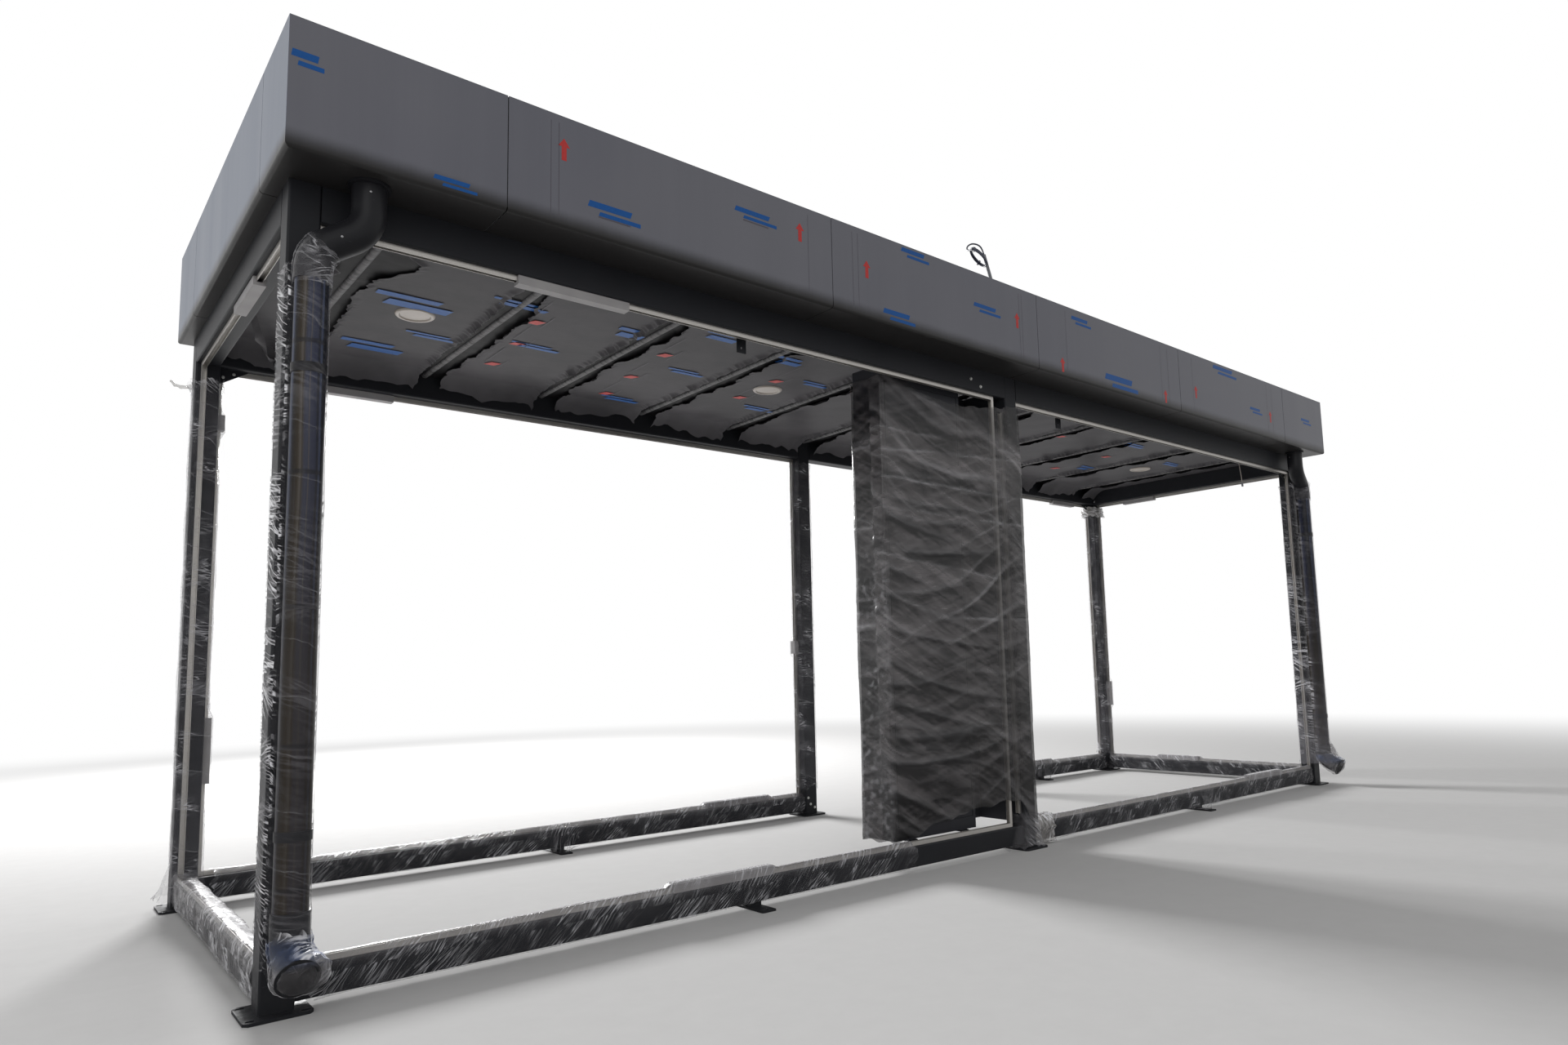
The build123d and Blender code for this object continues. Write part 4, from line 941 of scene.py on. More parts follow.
# %% Folds of the cabinet wrap
cabinet_left, cabinet_right, cabinet_back = -0.938, -0.332, -0.598
fold_count = 26
draw = random.Random(5)
folds = []
for i in range(fold_count):
    start_height = 0.18 + 2.2 * (i + draw.random()) / fold_count
    folds.append({
        "height": start_height,
        "slope": -math.tan(math.radians(draw.uniform(2, 36) if start_height < 2.0 else draw.uniform(-6, 16))),
        "bend": draw.uniform(-0.25, 0.35),
        "length": draw.uniform(0.28, 0.95),
        "width": draw.uniform(0.010, 0.024),
        "lift": draw.uniform(0.003, 0.010),
        "side": 1 if draw.random() < 0.78 else -1,
    })


def fold_at(u, z):
    """How far the folds lift the film at one place, how white their ridges are, partly with a
    painted highlight, and how they shade it in painted light and shade: light above each ridge, dark below."""
    lift, white, shade = 0.0, 0.0, 0.0
    for fold in folds:
        run = u * fold["side"]
        if run < 0 or run > fold["length"] * (1 if fold["side"] > 0 else 0.25):
            continue
        share = run / fold["length"]
        off = (z - fold["height"] - fold["slope"] * run - fold["bend"] * run * run) / fold["width"]
        if abs(off) < 5:
            taper = min(1.0, 0.25 + 5 * share) * (1 - share) ** 0.6
            lift += fold["lift"] * math.exp(-off * off) * taper
            white += math.exp(-off * off * 2) * taper * 0.09
            shade += off * math.exp(-off * off * 0.20) * taper * 0.26
    return lift, min(1.0, white), shade


# %% Painted light and shade of the slack between the folds, and frosting with painted light and glints
# Height at the near corner and slope of the edge of each layer
layer_edges = (
    (2.510, -0.33), (2.226, -0.04), (2.110, 0.03), (1.970, -0.05),
    (1.810, -0.04), (1.566, -0.13), (1.257, -0.02),
)


def pleats(phase, along, seed):
    """Overlapping pleats in painted light and shade: each is dark on its sharp side and grows light to its
    soft side, with a painted highlight along its crest.
    """
    n = math.floor(phase)
    share = phase - n
    strength = max(0.0, 0.35 + 0.9 * rough(n * 2.3, along * 1.3, seed, seed))
    sharp = min(1.0, share / 0.06)
    return strength * ((1 - share) * sharp - 0.42), strength * math.exp(-((share - 0.12) / 0.07) ** 2)


def drapery(u, z):
    """Painted light, shade and highlighted crests of the slack between the folds: most of it falls
    away from the near corner, some rises, and each layer of the winding starts with a paler edge."""
    falling, rising = z + 0.50 * u - 0.12 * u * u, z - 0.42 * u
    warp = rough(u * 1.6, z * 1.5, 0.3, 71.0)
    wide, wide_crest = pleats(falling * 5.0 + 1.6 * warp, u, 72.0)
    narrow, narrow_crest = pleats(falling * 12.0 + 2.4 * warp + 0.6 * rough(u * 6, z * 4, 1.0, 78.0), u, 73.0)
    across, across_crest = pleats(rising * 6.5 - 2.0 * warp, u, 74.0)
    where = share_of(0.62 + 1.3 * rough(u * 2.3, z * 1.9, 0.0, 75.0))
    shade = (0.60 * wide + 0.62 * narrow) * (0.3 + 0.7 * where) + 0.80 * across * (1 - where)
    shade += 0.35 * rough(u * 2.0, z * 1.3, 4.0, 79.0)
    crest = 0.15 * where * (wide_crest + narrow_crest) + 0.16 * (1 - where) * across_crest
    for height, slope in layer_edges:
        below = height + slope * u + 0.010 * rough(u * 7, height * 9, 0.0, 76.0) - z
        if 0.0 < below < 0.22:
            shade += 0.24 * (1 - below / 0.22)
        crest += 0.24 * math.exp(-(below / 0.008) ** 2) * max(0.0, 0.4 + rough(u * 5, height * 5, 3.0, 77.0))
    return shade, min(1.0, crest)


def near_side_frost_and_glints(x, y, z):
    """The film is whitest low down on the cabinet's near side: partly where it was wound most often, partly
    painted light on that side, with painted glints along it.
    """
    low_near = share_of((-0.905 - x) / 0.03) * share_of((1.80 - z) / 0.5)
    patch = max(0.0, 0.45 + 0.9 * rough(x * 4, y * 9, z * 5, 31.0))
    glint = max(0.0, rough(y * 38, z * 46, 0.0, 35.0)) * max(0.0, 0.4 + rough(y * 6, z * 3, 5.0, 36.0))
    return low_near, low_near * (0.06 * patch + 0.75 * glint)


# %% The cabinet wrap itself
bundle = (
    rectangle(cabinet_left, cabinet_right, rear_inner, cabinet_back)
    + rectangle(*span(0.0, half_post), rear_face, rear_inner)
    + [(-0.047, -0.604)]
)
bundle_seed, bundle_columns, bundle_rows = 21.0, 240, 280
# Height of the film's two edges at places across the cabinet
bottom_edge = ((-0.94, 0.135), (-0.80, 0.150), (-0.66, 0.205), (-0.40, 0.250), (-0.10, 0.270), (0.05, 0.090))
top_edge = ((-0.94, 2.500), (-0.80, 2.495), (-0.66, 2.440), (-0.45, 2.400), (-0.15, 2.430), (0.05, 2.470))


def between(x, table):
    for (x0, z0), (x1, z1) in zip(table, table[1:]):
        if x <= x1:
            t = max(0.0, (x - x0) / (x1 - x0))
            return z0 + (z1 - z0) * t * t * (3 - 2 * t)
    return table[-1][1]


corners, centre = hull(bundle), (-0.48, -0.74)
angles = ring_angles(corners, centre, bundle_columns)
ring = [away(centre, reach(corners, centre, a), a) for a in angles]
around = distances_round(ring)
near_corner = min(range(len(ring)), key=lambda k: math.dist(ring[k], (cabinet_left, rear_inner)))
edges = [
    tuple(between(x, table) + 0.02 * rough(x * 14, y * 14, level, bundle_seed)
          for table, level in ((bottom_edge, 0.0), (top_edge, 3.0)))
    for x, y in ring
]
grid, pressed, dense, shaded = [], [], [], []
for j in range(bundle_rows + 1):
    row = []
    for (x, y), (low, high), angle, distance in zip(ring, edges, angles, around):
        z = low + (high - low) * j / bundle_rows
        u = distance - around[near_corner]
        slow = 0.5 + 0.5 * rough(x * 3.2, y * 3.2, z * 2.6 + x * 1.2, bundle_seed)
        sheet = 0.5 + 0.5 * rough(x * 2.0 + z * 0.8, y * 2.0, z * 5.0 + x * 2.4, bundle_seed + 6)
        folded, white, shade = fold_at(u, z)
        swell, crest = drapery(u, z)
        frost, glint = near_side_frost_and_glints(x, y, z)
        lift = 0.0016 + 0.007 * slow + 0.009 * sheet * sheet + folded + 0.005 * max(0.0, 0.6 + swell)
        row.append((*away((x, y), lift, angle), z))
        top = share_of((z - 2.20) / 0.2)
        # The fold attribute: whitened ridges with painted highlights and glints
        pressed.append(min(1.0, white + crest + glint))
        # The shade attribute: painted light and shade of the folds and the drapery
        shaded.append(share_of(0.27 + 0.52 * swell + 0.9 * shade + 0.05 * frost - 0.10 * top))
        dense.append(0.14 * swell + 0.10 * frost - 0.26 * top)
    grid.append(row)
film_skin(
    "film_cabinet", grid, lambda row, column: (around[column], grid[row][column % len(ring)][2]),
    cabinet_film, marks={"fold": pressed, "veil": dense, "shade": shaded},
)
print("cabinet wrap faces:", made["film_cabinet"], "folds:", len(folds))

# %% [markdown]
# ## Sleeves, bags and tails
# Round a bent pipe the film follows the pipe's centre line. `bent_line` makes that line with
# the pipe's own bend, and `sleeve` sets rings across it. The same sleeve, with other radii,
# makes the bag that closes the mouth of a shoe, and the twisted tails where the film was torn
# off.

# %% Sleeves along a bent line
arc_step = 0.006


def bent_line(route, radius, step=arc_step):
    """Even short steps along a route, with every corner rounded to one radius as in the pipes."""
    line = [route[0]]
    for before, corner, after in zip(route, route[1:], route[2:]):
        back, on = (before - corner).normalized(), (after - corner).normalized()
        half = back.angle(on) / 2
        middle = corner + (back + on).normalized() * (radius / math.sin(half))
        spoke = corner + back * (radius / math.tan(half)) - middle
        axis = spoke.cross(corner + on * (radius / math.tan(half)) - middle).normalized()
        sweep = math.pi - 2 * half
        steps = max(2, round(sweep * radius / arc_step))
        line += [middle + Quaternion(axis, sweep * i / steps) @ spoke for i in range(steps + 1)]
    line.append(route[-1])
    points = [line[0]]
    for a, b in zip(line, line[1:]):
        steps = max(1, round((b - a).length / step))
        points += [a.lerp(b, i / steps) for i in range(1, steps + 1)]
    return points


def sleeve(name, line, radius_at, finish, seed, count=40, crumple=0.003, ragged=0.0, capped=False,
           calm_from=1.0, flap=0.0):
    normal = (line[1] - line[0]).orthogonal().normalized()
    rows = []
    for j, middle in enumerate(line):
        along = (line[min(j + 1, len(line) - 1)] - line[max(j - 1, 0)]).normalized()
        normal = (normal - along * normal.dot(along)).normalized()
        side = along.cross(normal)
        share = j / (len(line) - 1)
        row = []
        for k in range(count):
            angle = 2 * math.pi * k / count
            spoke = normal * math.cos(angle) + side * math.sin(angle)
            spot = middle + spoke * (radius_at(share) + flap * max(0.0, spoke.x) ** 2 * share * share)
            spot += spoke * crumple * max(0.0, 1.0 - abs(rough(*(spot * 34), seed)) * 2.4)
            if share == 1.0 or (capped and share == 0.0):
                spot += along * ragged * rough(*(spot * 40), seed + 2)
            row.append(spot)
        rows.append(row)
    whole = (line[-1] - line[0]).length

    def wound_at(row, column):
        return column / count * 2 * math.pi * radius_at(0.0), whole * row / len(line)

    calm = [0.92 if j / (len(line) - 1) > calm_from else 0.0 for j in range(len(line)) for k in range(count)]
    return film_skin(name, rows, wound_at, finish, capped=capped, marks={"calm": calm})


neck_radius, shoe_radius = 0.112, 0.108
outlet_x, outlet_y = half_length - 0.222, rear_face - 0.091
neck_high, neck_low, shoe_bend = 2.470, 2.370, 0.200
shoe_tilt = math.radians(25)
shoe_way = Vector((0, -math.cos(shoe_tilt), -math.sin(shoe_tilt)))
mouth_length = 0.119 / math.cos(shoe_tilt) + 0.008
lip = 1 - 0.035 / 0.180


def neck_ends(side):
    return Vector((side * outlet_x, outlet_y, neck_high)), Vector((side * pipe_x, pipe_y, neck_low))


def bag_radius(t):
    """The bag widens a little to the mouth, and closes over it behind its lip."""
    if t < lip:
        return fitting_radius + 0.0018 + 0.010 * (t / lip) ** 2
    return (fitting_radius + 0.0118) * max(0.02, 1 - ((t - lip) / (1 - lip)) ** 5)


for side, word in ((-1, "left"), (1, "right")):
    upper, lower = neck_ends(side)
    pipe = Vector((side * pipe_x, pipe_y, 0))
    bend = bent_line([pipe + Vector((0, 0, 2.250)), lower, lower.lerp(upper, 0.46)], neck_radius)
    sleeve(
        f"film_neck_{word}", bend[:round(len(bend) * 0.74)], lambda t: fitting_radius + 0.0016 + 0.003 * t,
        post_film, 41 + side, ragged=0.02,
    )
    shoe_corner = pipe + Vector((0, 0, shoe_bend))
    shoe_route = [pipe + Vector((0, 0, 0.305)), shoe_corner, shoe_corner + shoe_way * mouth_length]
    # Over the open mouth the bag is a single clear layer
    sleeve(
        f"film_shoe_{word}", [p for p in bent_line(shoe_route, shoe_radius) if p.z < 0.240], bag_radius,
        bag_film, 47 + side, count=56, crumple=0.007, ragged=0.03, capped=True, calm_from=0.93, flap=0.030,
    )

# %% Tails where the film was torn off
for name, wide, narrow, route in (
    ("film_tail_road_left", 0.011, 0.002,
     ((-3.690, 1.035, 2.405), (-3.735, 1.068, 2.402), (-3.765, 1.092, 2.414), (-3.778, 1.104, 2.436))),
    ("film_tail_right_shoe", 0.030, 0.010,
     ((3.665, -1.010, 0.300), (3.715, -1.025, 0.230), (3.765, -1.035, 0.165), (3.810, -1.040, 0.130))),
):
    tail_line = bent_line([Vector(p) for p in route], 0.03, 0.004)
    sleeve(
        name, tail_line, lambda t: wide + (narrow - wide) * t, loose_film, 53.0,
        count=20, crumple=0.004, capped=True,
    )
print("wraps made:", len(made), "faces:", sum(made.values()))

# %% [markdown]
# ## The ceiling film
# Each ceiling panel still has its printed film, torn back along every joint. Each sheet is a
# grid between two ragged lines. Near its torn sides it curls down and rolls over, and at the
# road side it hangs in front of the beam in loose scallops. The print is added as thin
# marks afterwards.

# %% Film sheets on the ceiling
ceiling_level, joint_pitch, panel_end = 2.626, 0.664, 3.598
panel_sides = [-panel_end, *(joint_pitch * i for i in range(-5, 6)), panel_end]
last_panel = len(panel_sides) - 2
sheet_start, sheet_end, loose_from = -0.800, 0.938, 0.80
sheet_rows, curl_width, plain_margin = 200, 0.040, 0.006


def spikes(y, pitch, seed):
    """Torn points: each pitch along the edge holds one tooth with its own height and lean."""
    n = math.floor(y / pitch)
    height = 0.5 + 0.9 * rough(n * 1.37, seed, 2.0, seed)
    lean = 0.5 + 0.35 * rough(n * 2.11, seed, 5.0, seed)
    t = y / pitch - n
    return max(0.0, height) * (t / lean if t < lean else (1 - t) / (1 - lean))


def tear(y, joint, side):
    """How far the torn side stands back from its joint."""
    slow = 0.5 + 0.5 * rough(y * 2.6, joint * 3.1, side * 5.0, 3.0)
    if joint < -3.3:
        # The last joint at the left end has one wide tear more
        slow += max(0.0, 1 - ((y + 0.43) / 0.17) ** 2)
    place = y + joint * 0.37 + side * 0.11
    teeth = 0.020 * spikes(place, 0.093, joint + side) + 0.013 * spikes(place, 0.037, joint - side)
    return 0.026 + 0.062 * slow * slow + teeth


def ceiling_sheet(index, x0, x1, columns):
    """The points of one sheet, in rows from the rear to the road side."""
    torn_left, torn_right = index > 0, index < last_panel
    points = []
    for j in range(sheet_rows + 1):
        y = sheet_start + (sheet_end - sheet_start) * j / sheet_rows
        left = x0 + (tear(y, x0, 1) if torn_left else plain_margin)
        right = x1 - (tear(y, x1, -1) if torn_right else plain_margin)
        loose = max(0.0, y - loose_from) / (sheet_end - loose_from)
        for i in range(columns + 1):
            x = left + (right - left) * (0.5 - 0.5 * math.cos(math.pi * i / columns))
            curl, roll = 0.0, 0.0
            for gap, torn, edge, way in ((x - left, torn_left, x0, 1), (right - x, torn_right, x1, -1)):
                if torn and gap < curl_width:
                    amount = max(0.2, 0.6 + 1.0 * rough(y * 7, edge * 3.3, 0.0, 6.0))
                    near = 1 - gap / curl_width
                    curl += 0.024 * amount * math.sin(math.pi * 0.62 * near ** 1.3)
                    roll += way * 0.020 * amount * near ** 3
            scallop = 0.5 + 0.5 * rough(x * 3.1, index * 2.7, 1.0, 7.0)
            scallop += 0.28 * rough(x * 13, index, 2.0, 8.0)
            torn_low = 0.22 * spikes(x + 0.2 * index, 0.11, 4.0 + index)
            torn_low += 0.12 * spikes(x, 0.043, 9.0 + index)
            hang = loose * loose * (0.025 + 0.115 * max(0.0, scallop) * (0.72 + torn_low))
            sag = 0.0024 * (0.5 + 0.5 * rough(x * 8, y * 6, index, 9.0))
            back = 0.03 * loose * loose * (0.4 + 0.6 * rough(x * 6, index, 5.0, 10.0))
            points.append((x + roll, y - back * loose, ceiling_level - 0.0012 - curl - hang - sag))
    return points


sheet_points, sheet_faces = [], []
for index, (x0, x1) in enumerate(zip(panel_sides, panel_sides[1:])):
    columns = 30 if x1 - x0 > 0.4 else 16
    sheet_faces += joined(sheet_rows + 1, columns + 1, inside_out=True, first=len(sheet_points))
    sheet_points += ceiling_sheet(index, x0, x1, columns)

# One strip of the film has come right off at the left end and hangs in a slack line
strip_rows, strip_columns = 60, 6
strip_start, strip_end = Vector((-3.552, 0.485, 2.622)), Vector((-3.376, 0.925, 2.560))
sheet_faces += joined(strip_rows + 1, strip_columns + 1, inside_out=True, first=len(sheet_points))
for j in range(strip_rows + 1):
    t = j / strip_rows
    middle = strip_start.lerp(strip_end, t)
    middle.z -= 0.05 * math.sin(math.pi * t) + 0.006 * rough(t * 9, 1.0, 2.0, 14.0)
    twist = 0.9 * math.sin(2.3 * t * math.pi + 0.5)
    for i in range(strip_columns + 1):
        across = (i / strip_columns - 0.5) * (0.030 + 0.016 * rough(t * 7, 3.0, 1.0, 15.0))
        sheet_points.append(middle + Vector((across * math.cos(twist), 0, across * math.sin(twist))))
piece(mesh_object("ceiling_film_sheets", sheet_points, sheet_faces), ceiling_film)
print("ceiling film faces:", len(sheet_faces))

# %% [markdown]
# ## What repeats: screws, rivets and printed marks
# One Geometry Nodes tree places copies of a small shape. Its input mesh is a cloud of points,
# each with a turn and a size stored as attributes. The tree puts the shape on each point,
# realises the copies and sets the material. The result is turned into a plain mesh.

# %% The tree that places copies
place_copies = bpy.data.node_groups.new("place_copies", "GeometryNodeTree")
place_copies.is_modifier = True
for label, kind in (("Points", "Geometry"), ("Shape", "Object"), ("Finish", "Material"), ("Size", "Float")):
    place_copies.interface.new_socket(label, in_out="INPUT", socket_type="NodeSocket" + kind)
place_copies.interface.new_socket("Copies", in_out="OUTPUT", socket_type="NodeSocketGeometry")
n = Nodes(place_copies)
given = n.node("NodeGroupInput")
turn, size = (
    n.node("GeometryNodeInputNamedAttribute", {"Name": label}, data_type="FLOAT_VECTOR")[0]
    for label in ("turn", "size")
)
placed = n.node("GeometryNodeInstanceOnPoints", {
    "Points": n.node("GeometryNodeMeshToPoints", {"Mesh": given["Points"]})["Points"],
    "Instance": n.node("GeometryNodeObjectInfo", {"Object": given["Shape"]})["Geometry"],
    "Rotation": n.node("FunctionNodeEulerToRotation", {0: turn})[0],
    "Scale": n.node("ShaderNodeVectorMath", {0: size, "Scale": given["Size"]}, operation="SCALE")["Vector"],
})["Instances"]
realised = n.node("GeometryNodeRealizeInstances", {0: placed})[0]
finished = n.node("GeometryNodeSetMaterial", {"Geometry": realised, "Material": given["Finish"]})[0]
n.node("NodeGroupOutput", {"Copies": finished})


def copies(name, shape, places, finish):
    """places holds (position, turn in degrees, size) for each copy."""
    cloud = mesh_object(name + "_points", [p for p, _, _ in places], [])
    for label, numbers in (
        ("turn", [math.radians(a) for _, turn, _ in places for a in turn]),
        ("size", [s for _, _, size in places for s in size]),
    ):
        cloud.data.attributes.new(label, "FLOAT_VECTOR", "POINT").data.foreach_set("vector", numbers)
    modifier = cloud.modifiers.new("copies", "NODES")
    modifier.node_group = place_copies
    ids = {s.name: s.identifier for s in place_copies.interface.items_tree if s.in_out == "INPUT"}
    for label, value in (("Shape", shape), ("Finish", finish), ("Size", 1.0)):
        modifier[ids[label]] = value
    plain = bpy.data.meshes.new_from_object(cloud.evaluated_get(bpy.context.evaluated_depsgraph_get()))
    plain.name = name
    bpy.data.objects.remove(cloud)
    for label in ("turn", "size"):
        if label in plain.attributes:
            plain.attributes.remove(plain.attributes[label])
    print(name, "copies:", len(places))
    return piece(in_scene(name, plain), finish)


def template(name, points, faces):
    """A small shape to copy. It isn't in the scene itself."""
    mesh = bpy.data.meshes.new(name)
    mesh.from_pydata(points, [], faces)
    face_outward(mesh)
    return bpy.data.objects.new(name, mesh)


# %% [markdown]
# A hexagon bolt is a washer, a head with a chamfer and a little dome. It is built as rings of
# points around its axis, the way a lathe would see it, with six sides where the head is.

# %% Bolt and rivet shapes
def turned(name, rings, six_sided=(), count=24):
    """A closed shape from rings of (radius, height). Some of the rings can be six-sided."""
    points = []
    for j, (radius, z) in enumerate(rings):
        for i in range(count):
            angle = 2 * math.pi * i / count
            inside = (angle + math.pi / 6) % (math.pi / 3) - math.pi / 6
            r = radius * math.cos(math.pi / 6) / math.cos(inside) if j in six_sided else radius
            points.append((*away((0.0, 0.0), r, angle), z))
    ends = tuple(range(count))[::-1], tuple(range(len(points) - count, len(points)))
    return template(name, points, joined(len(rings), count, closed=True) + list(ends))


bolt_shape = turned("bolt_shape", (
    (0.0120, -0.0004), (0.0120, 0.0014), (0.0115, 0.0018), (0.0088, 0.0018),
    (0.0098, 0.0020), (0.0098, 0.0072), (0.0084, 0.0082), (0.0030, 0.0084),
), six_sided=(4, 5))
rivet_shape = turned("rivet_shape", (
    (0.0052, -0.0003), (0.0052, 0.0006), (0.0044, 0.0014), (0.0026, 0.0019), (0.0010, 0.0020),
))

# %% Bolts at the beam ends and post feet, rivets on the swan necks
towards = {"-y": (90, 0, 0), "+y": (-90, 0, 0), "-x": (0, -90, 0), "+x": (0, 90, 0)}
gusset_face = 0.003
bolt_places = []


def bolt(x, y, z, way, size):
    bolt_places.append(((x, y, z), towards[way], (size, size, size)))


for side in (-1, 1):
    for row in (rear_row, road_row):
        for way, face in (("-y", -gusset_face), ("+y", gusset_face)):
            for x, z in ((post_inner - 0.0625, 2.482), (post_inner - 0.018, 2.461)):
                bolt(side * x, row + face, z, way, 0.62)
for x, z in ((-0.340, 2.562), (-0.261, 2.531)):
    bolt(x, rear_face, z, "-y", 0.75)
for post_middle in (0.0, door_middle):
    for x, z in ((-0.030, 0.118), (-0.010, 0.0745), (0.026, 0.050)):
        bolt(post_middle + x, road_inner, z, "-y", 0.75)
for z in (2.530, 2.590):
    for side, way in ((-1, "+x"), (1, "-x")):
        bolt(side * post_inner, road_inner - 0.012, z, way, 0.8)
for tab_x in (-1.82, 0.592):
    for z in (2.53, 2.565):
        bolt(tab_x, rear_inner + 0.005, z, "+y", 0.7)
copies("frame_bolts", bolt_shape, bolt_places, bolt_steel)

flange_height, rivet_size = 2.585, (0.8, 0.8, 0.8)
rivet_places = []
for side in (-1, 1):
    for angle in (259.5, 140.0, 20.0):
        a = math.radians(angle if side < 0 else 180 - angle)
        spot = (*away((side * outlet_x, outlet_y), fitting_radius, a), flange_height)
        rivet_places.append((spot, (90, 0, math.degrees(a) + 90), rivet_size))
    high, low = neck_ends(side)
    way = (low - high).normalized()
    outward = (Vector((0, -1, 0)) + way * way.y).normalized()
    turn = outward.to_track_quat("Z", "Y").to_euler()
    spot = high.lerp(low, 0.52) + outward * fitting_radius
    rivet_places.append((spot, tuple(math.degrees(v) for v in turn), rivet_size))
copies("neck_rivets", rivet_shape, rivet_places, rivet_finish)

# %% [markdown]
# ## Printed marks
# The protective film is printed by its maker. The real print isn't copied: in its place are
# plain arrows, bars and hairlines with no meaning. Each mark is a flat shape that stands
# 0.4 mm off the film, so it needs no image and works from every side.

# %% Flat mark shapes
def flat(name, *outlines):
    """A shape of flat outlines, each of them one face."""
    points, faces = [], []
    for outline in outlines:
        faces.append(tuple(range(len(points), len(points) + len(outline))))
        points += [(x, y, 0.0) for x, y in outline]
    return template(name, points, faces)


arrow_shape = flat(
    "arrow_shape",
    [(-0.16, -0.5), (0.16, -0.5), (0.16, 0.12), (-0.16, 0.12)],
    [(-0.38, 0.12), (-0.16, 0.12), (0.16, 0.12), (0.38, 0.12), (0.0, 0.5)],
)
bars_shape = flat(
    "bars_shape",
    [(-0.5, 0.02), (0.30, 0.02), (0.34, 0.5), (-0.46, 0.5)],
    [(-0.30, -0.5), (0.5, -0.5), (0.5, -0.18), (-0.27, -0.18)],
)
slash_shape = flat("slash_shape", [(-0.5, -0.5), (0.2, -0.5), (0.5, 0.5), (-0.2, 0.5)])
hairline_shape = flat("hairline_shape", rectangle(-0.5, 0.5, -0.5, 0.5))


def ink(name, a, b):
    m = Material(name, 0.40, 0.0, 0.12)
    worn = m.noise(m.place, 120.0, 4.0, 0.7)
    return m.finish(m.mix(worn, a, b), alpha=m.step(worn, 0.22, 0.34))


red_ink = ink("red_print", (0.42, 0.035, 0.035), (0.55, 0.065, 0.06))
blue_ink = ink("blue_print", (0.008, 0.065, 0.25), (0.02, 0.11, 0.34))
line_ink = ink("grey_hairlines", (0.075, 0.07, 0.085), (0.12, 0.11, 0.13))

# %% Marks on the rear roof edge
film_gap = 0.0004
rear_print, road_print = -1.125 - film_gap, 1.125 + film_gap
rear_turn, road_turn = (90, 0, 0), (90, 0, 180)
arrow_size, hairline_size, hairline_z = (0.062, 0.086, 1), (0.0022, 0.36, 1), 2.845
rear_arrows = (
    (-2.842, 2.926), (-1.716, 2.930), (-1.310, 2.864), (-0.181, 2.866),
    (0.223, 2.695), (1.339, 2.697), (1.736, 2.795), (2.831, 2.792),
)
rear_bars = (
    (-3.700, 2.920, 0.095, 0.050), (-3.237, 2.662, 0.15, 0.034), (-2.634, 2.738, 0.225, 0.052),
    (-1.960, 2.927, 0.225, 0.045), (-0.975, 3.020, 0.20, 0.045), (-1.101, 2.676, 0.22, 0.050),
    (-0.434, 2.866, 0.22, 0.045), (0.428, 2.990, 0.20, 0.045), (0.827, 2.690, 0.36, 0.075),
    (2.161, 3.010, 0.34, 0.055), (2.604, 2.800, 0.19, 0.042), (3.453, 2.846, 0.18, 0.042),
)
rear_lines = (-2.893, -2.862, -1.669, -1.400, -1.365, -0.136, -0.160, 0.270, 1.30, 1.385, 1.70, 2.79, 2.87)
arrow_places = [((x, rear_print, z), rear_turn, arrow_size) for x, z in rear_arrows]
bar_places = [((x, rear_print, z), rear_turn, (w, h, 1)) for x, z, w, h in rear_bars]
line_places = [((x, rear_print, hairline_z), rear_turn, hairline_size) for x in rear_lines]
line_places += [((x, rear_print, z - 0.03), rear_turn, (w * 0.6, 0.006, 1)) for x, z, w, _ in rear_bars[2:4]]

# %% Marks on the road side, plainer, and on the ceiling film
for i in range(7):
    x = -3.2 + 1.05 * i
    arrow_places.append(((x, road_print, 2.79 + 0.05 * (i % 3)), road_turn, arrow_size))
    bar_places.append(((x + 0.42, road_print, 2.90 - 0.06 * (i % 2)), road_turn, (0.22, 0.05, 1)))
    line_places.append(((x - 0.06, road_print, hairline_z), road_turn, hairline_size))
under = ceiling_level - 0.0062
down_turn, bar_turn = (180, 0, 0), (180, 0, 180)
ceiling_bars = (
    (-3.036, -0.080, 0.34, 0.14), (-2.66, -0.33, 0.26, 0.07), (-3.02, 0.60, 0.30, 0.13),
    (-2.83, 0.30, 0.26, 0.06), (-2.10, -0.30, 0.16, 0.12), (-2.38, 0.15, 0.26, 0.06),
    (-1.72, -0.52, 0.20, 0.10), (-1.56, 0.06, 0.24, 0.06), (-1.60, 0.72, 0.26, 0.07),
    (-1.22, -0.42, 0.18, 0.10), (-0.84, -0.18, 0.20, 0.06), (-0.80, 0.42, 0.24, 0.07),
    (0.30, 0.42, 0.22, 0.07), (0.42, -0.35, 0.22, 0.10), (1.15, 0.10, 0.26, 0.06), (1.70, 0.55, 0.22, 0.09),
    (2.15, -0.40, 0.26, 0.07), (2.55, 0.30, 0.24, 0.10), (3.02, -0.20, 0.24, 0.07),
)
ceiling_slashes = (
    (-2.52, -0.17), (-2.47, 0.15), (-2.45, 0.52), (-1.80, -0.12), (-1.76, 0.30), (-1.72, 0.66),
    (-1.06, -0.10), (-1.04, 0.28), (0.62, -0.30), (0.64, 0.12), (1.42, -0.25), (1.40, 0.30),
    (2.30, -0.05), (2.32, 0.45),
)
bar_places += [((x, y, under), bar_turn, (w, h, 1)) for x, y, w, h in ceiling_bars]
slash_places = [((x, y, under), down_turn, (0.075, 0.052, 1)) for x, y in ceiling_slashes]
for x, y in ceiling_slashes:
    line_places.append(((x - 0.045, y - 0.16, under), down_turn, (0.0035, 0.22, 1)))
    line_places.append(((x + 0.045, y - 0.02, under), down_turn, (0.0035, 0.16, 1)))
copies("print_arrows", arrow_shape, arrow_places, red_ink)
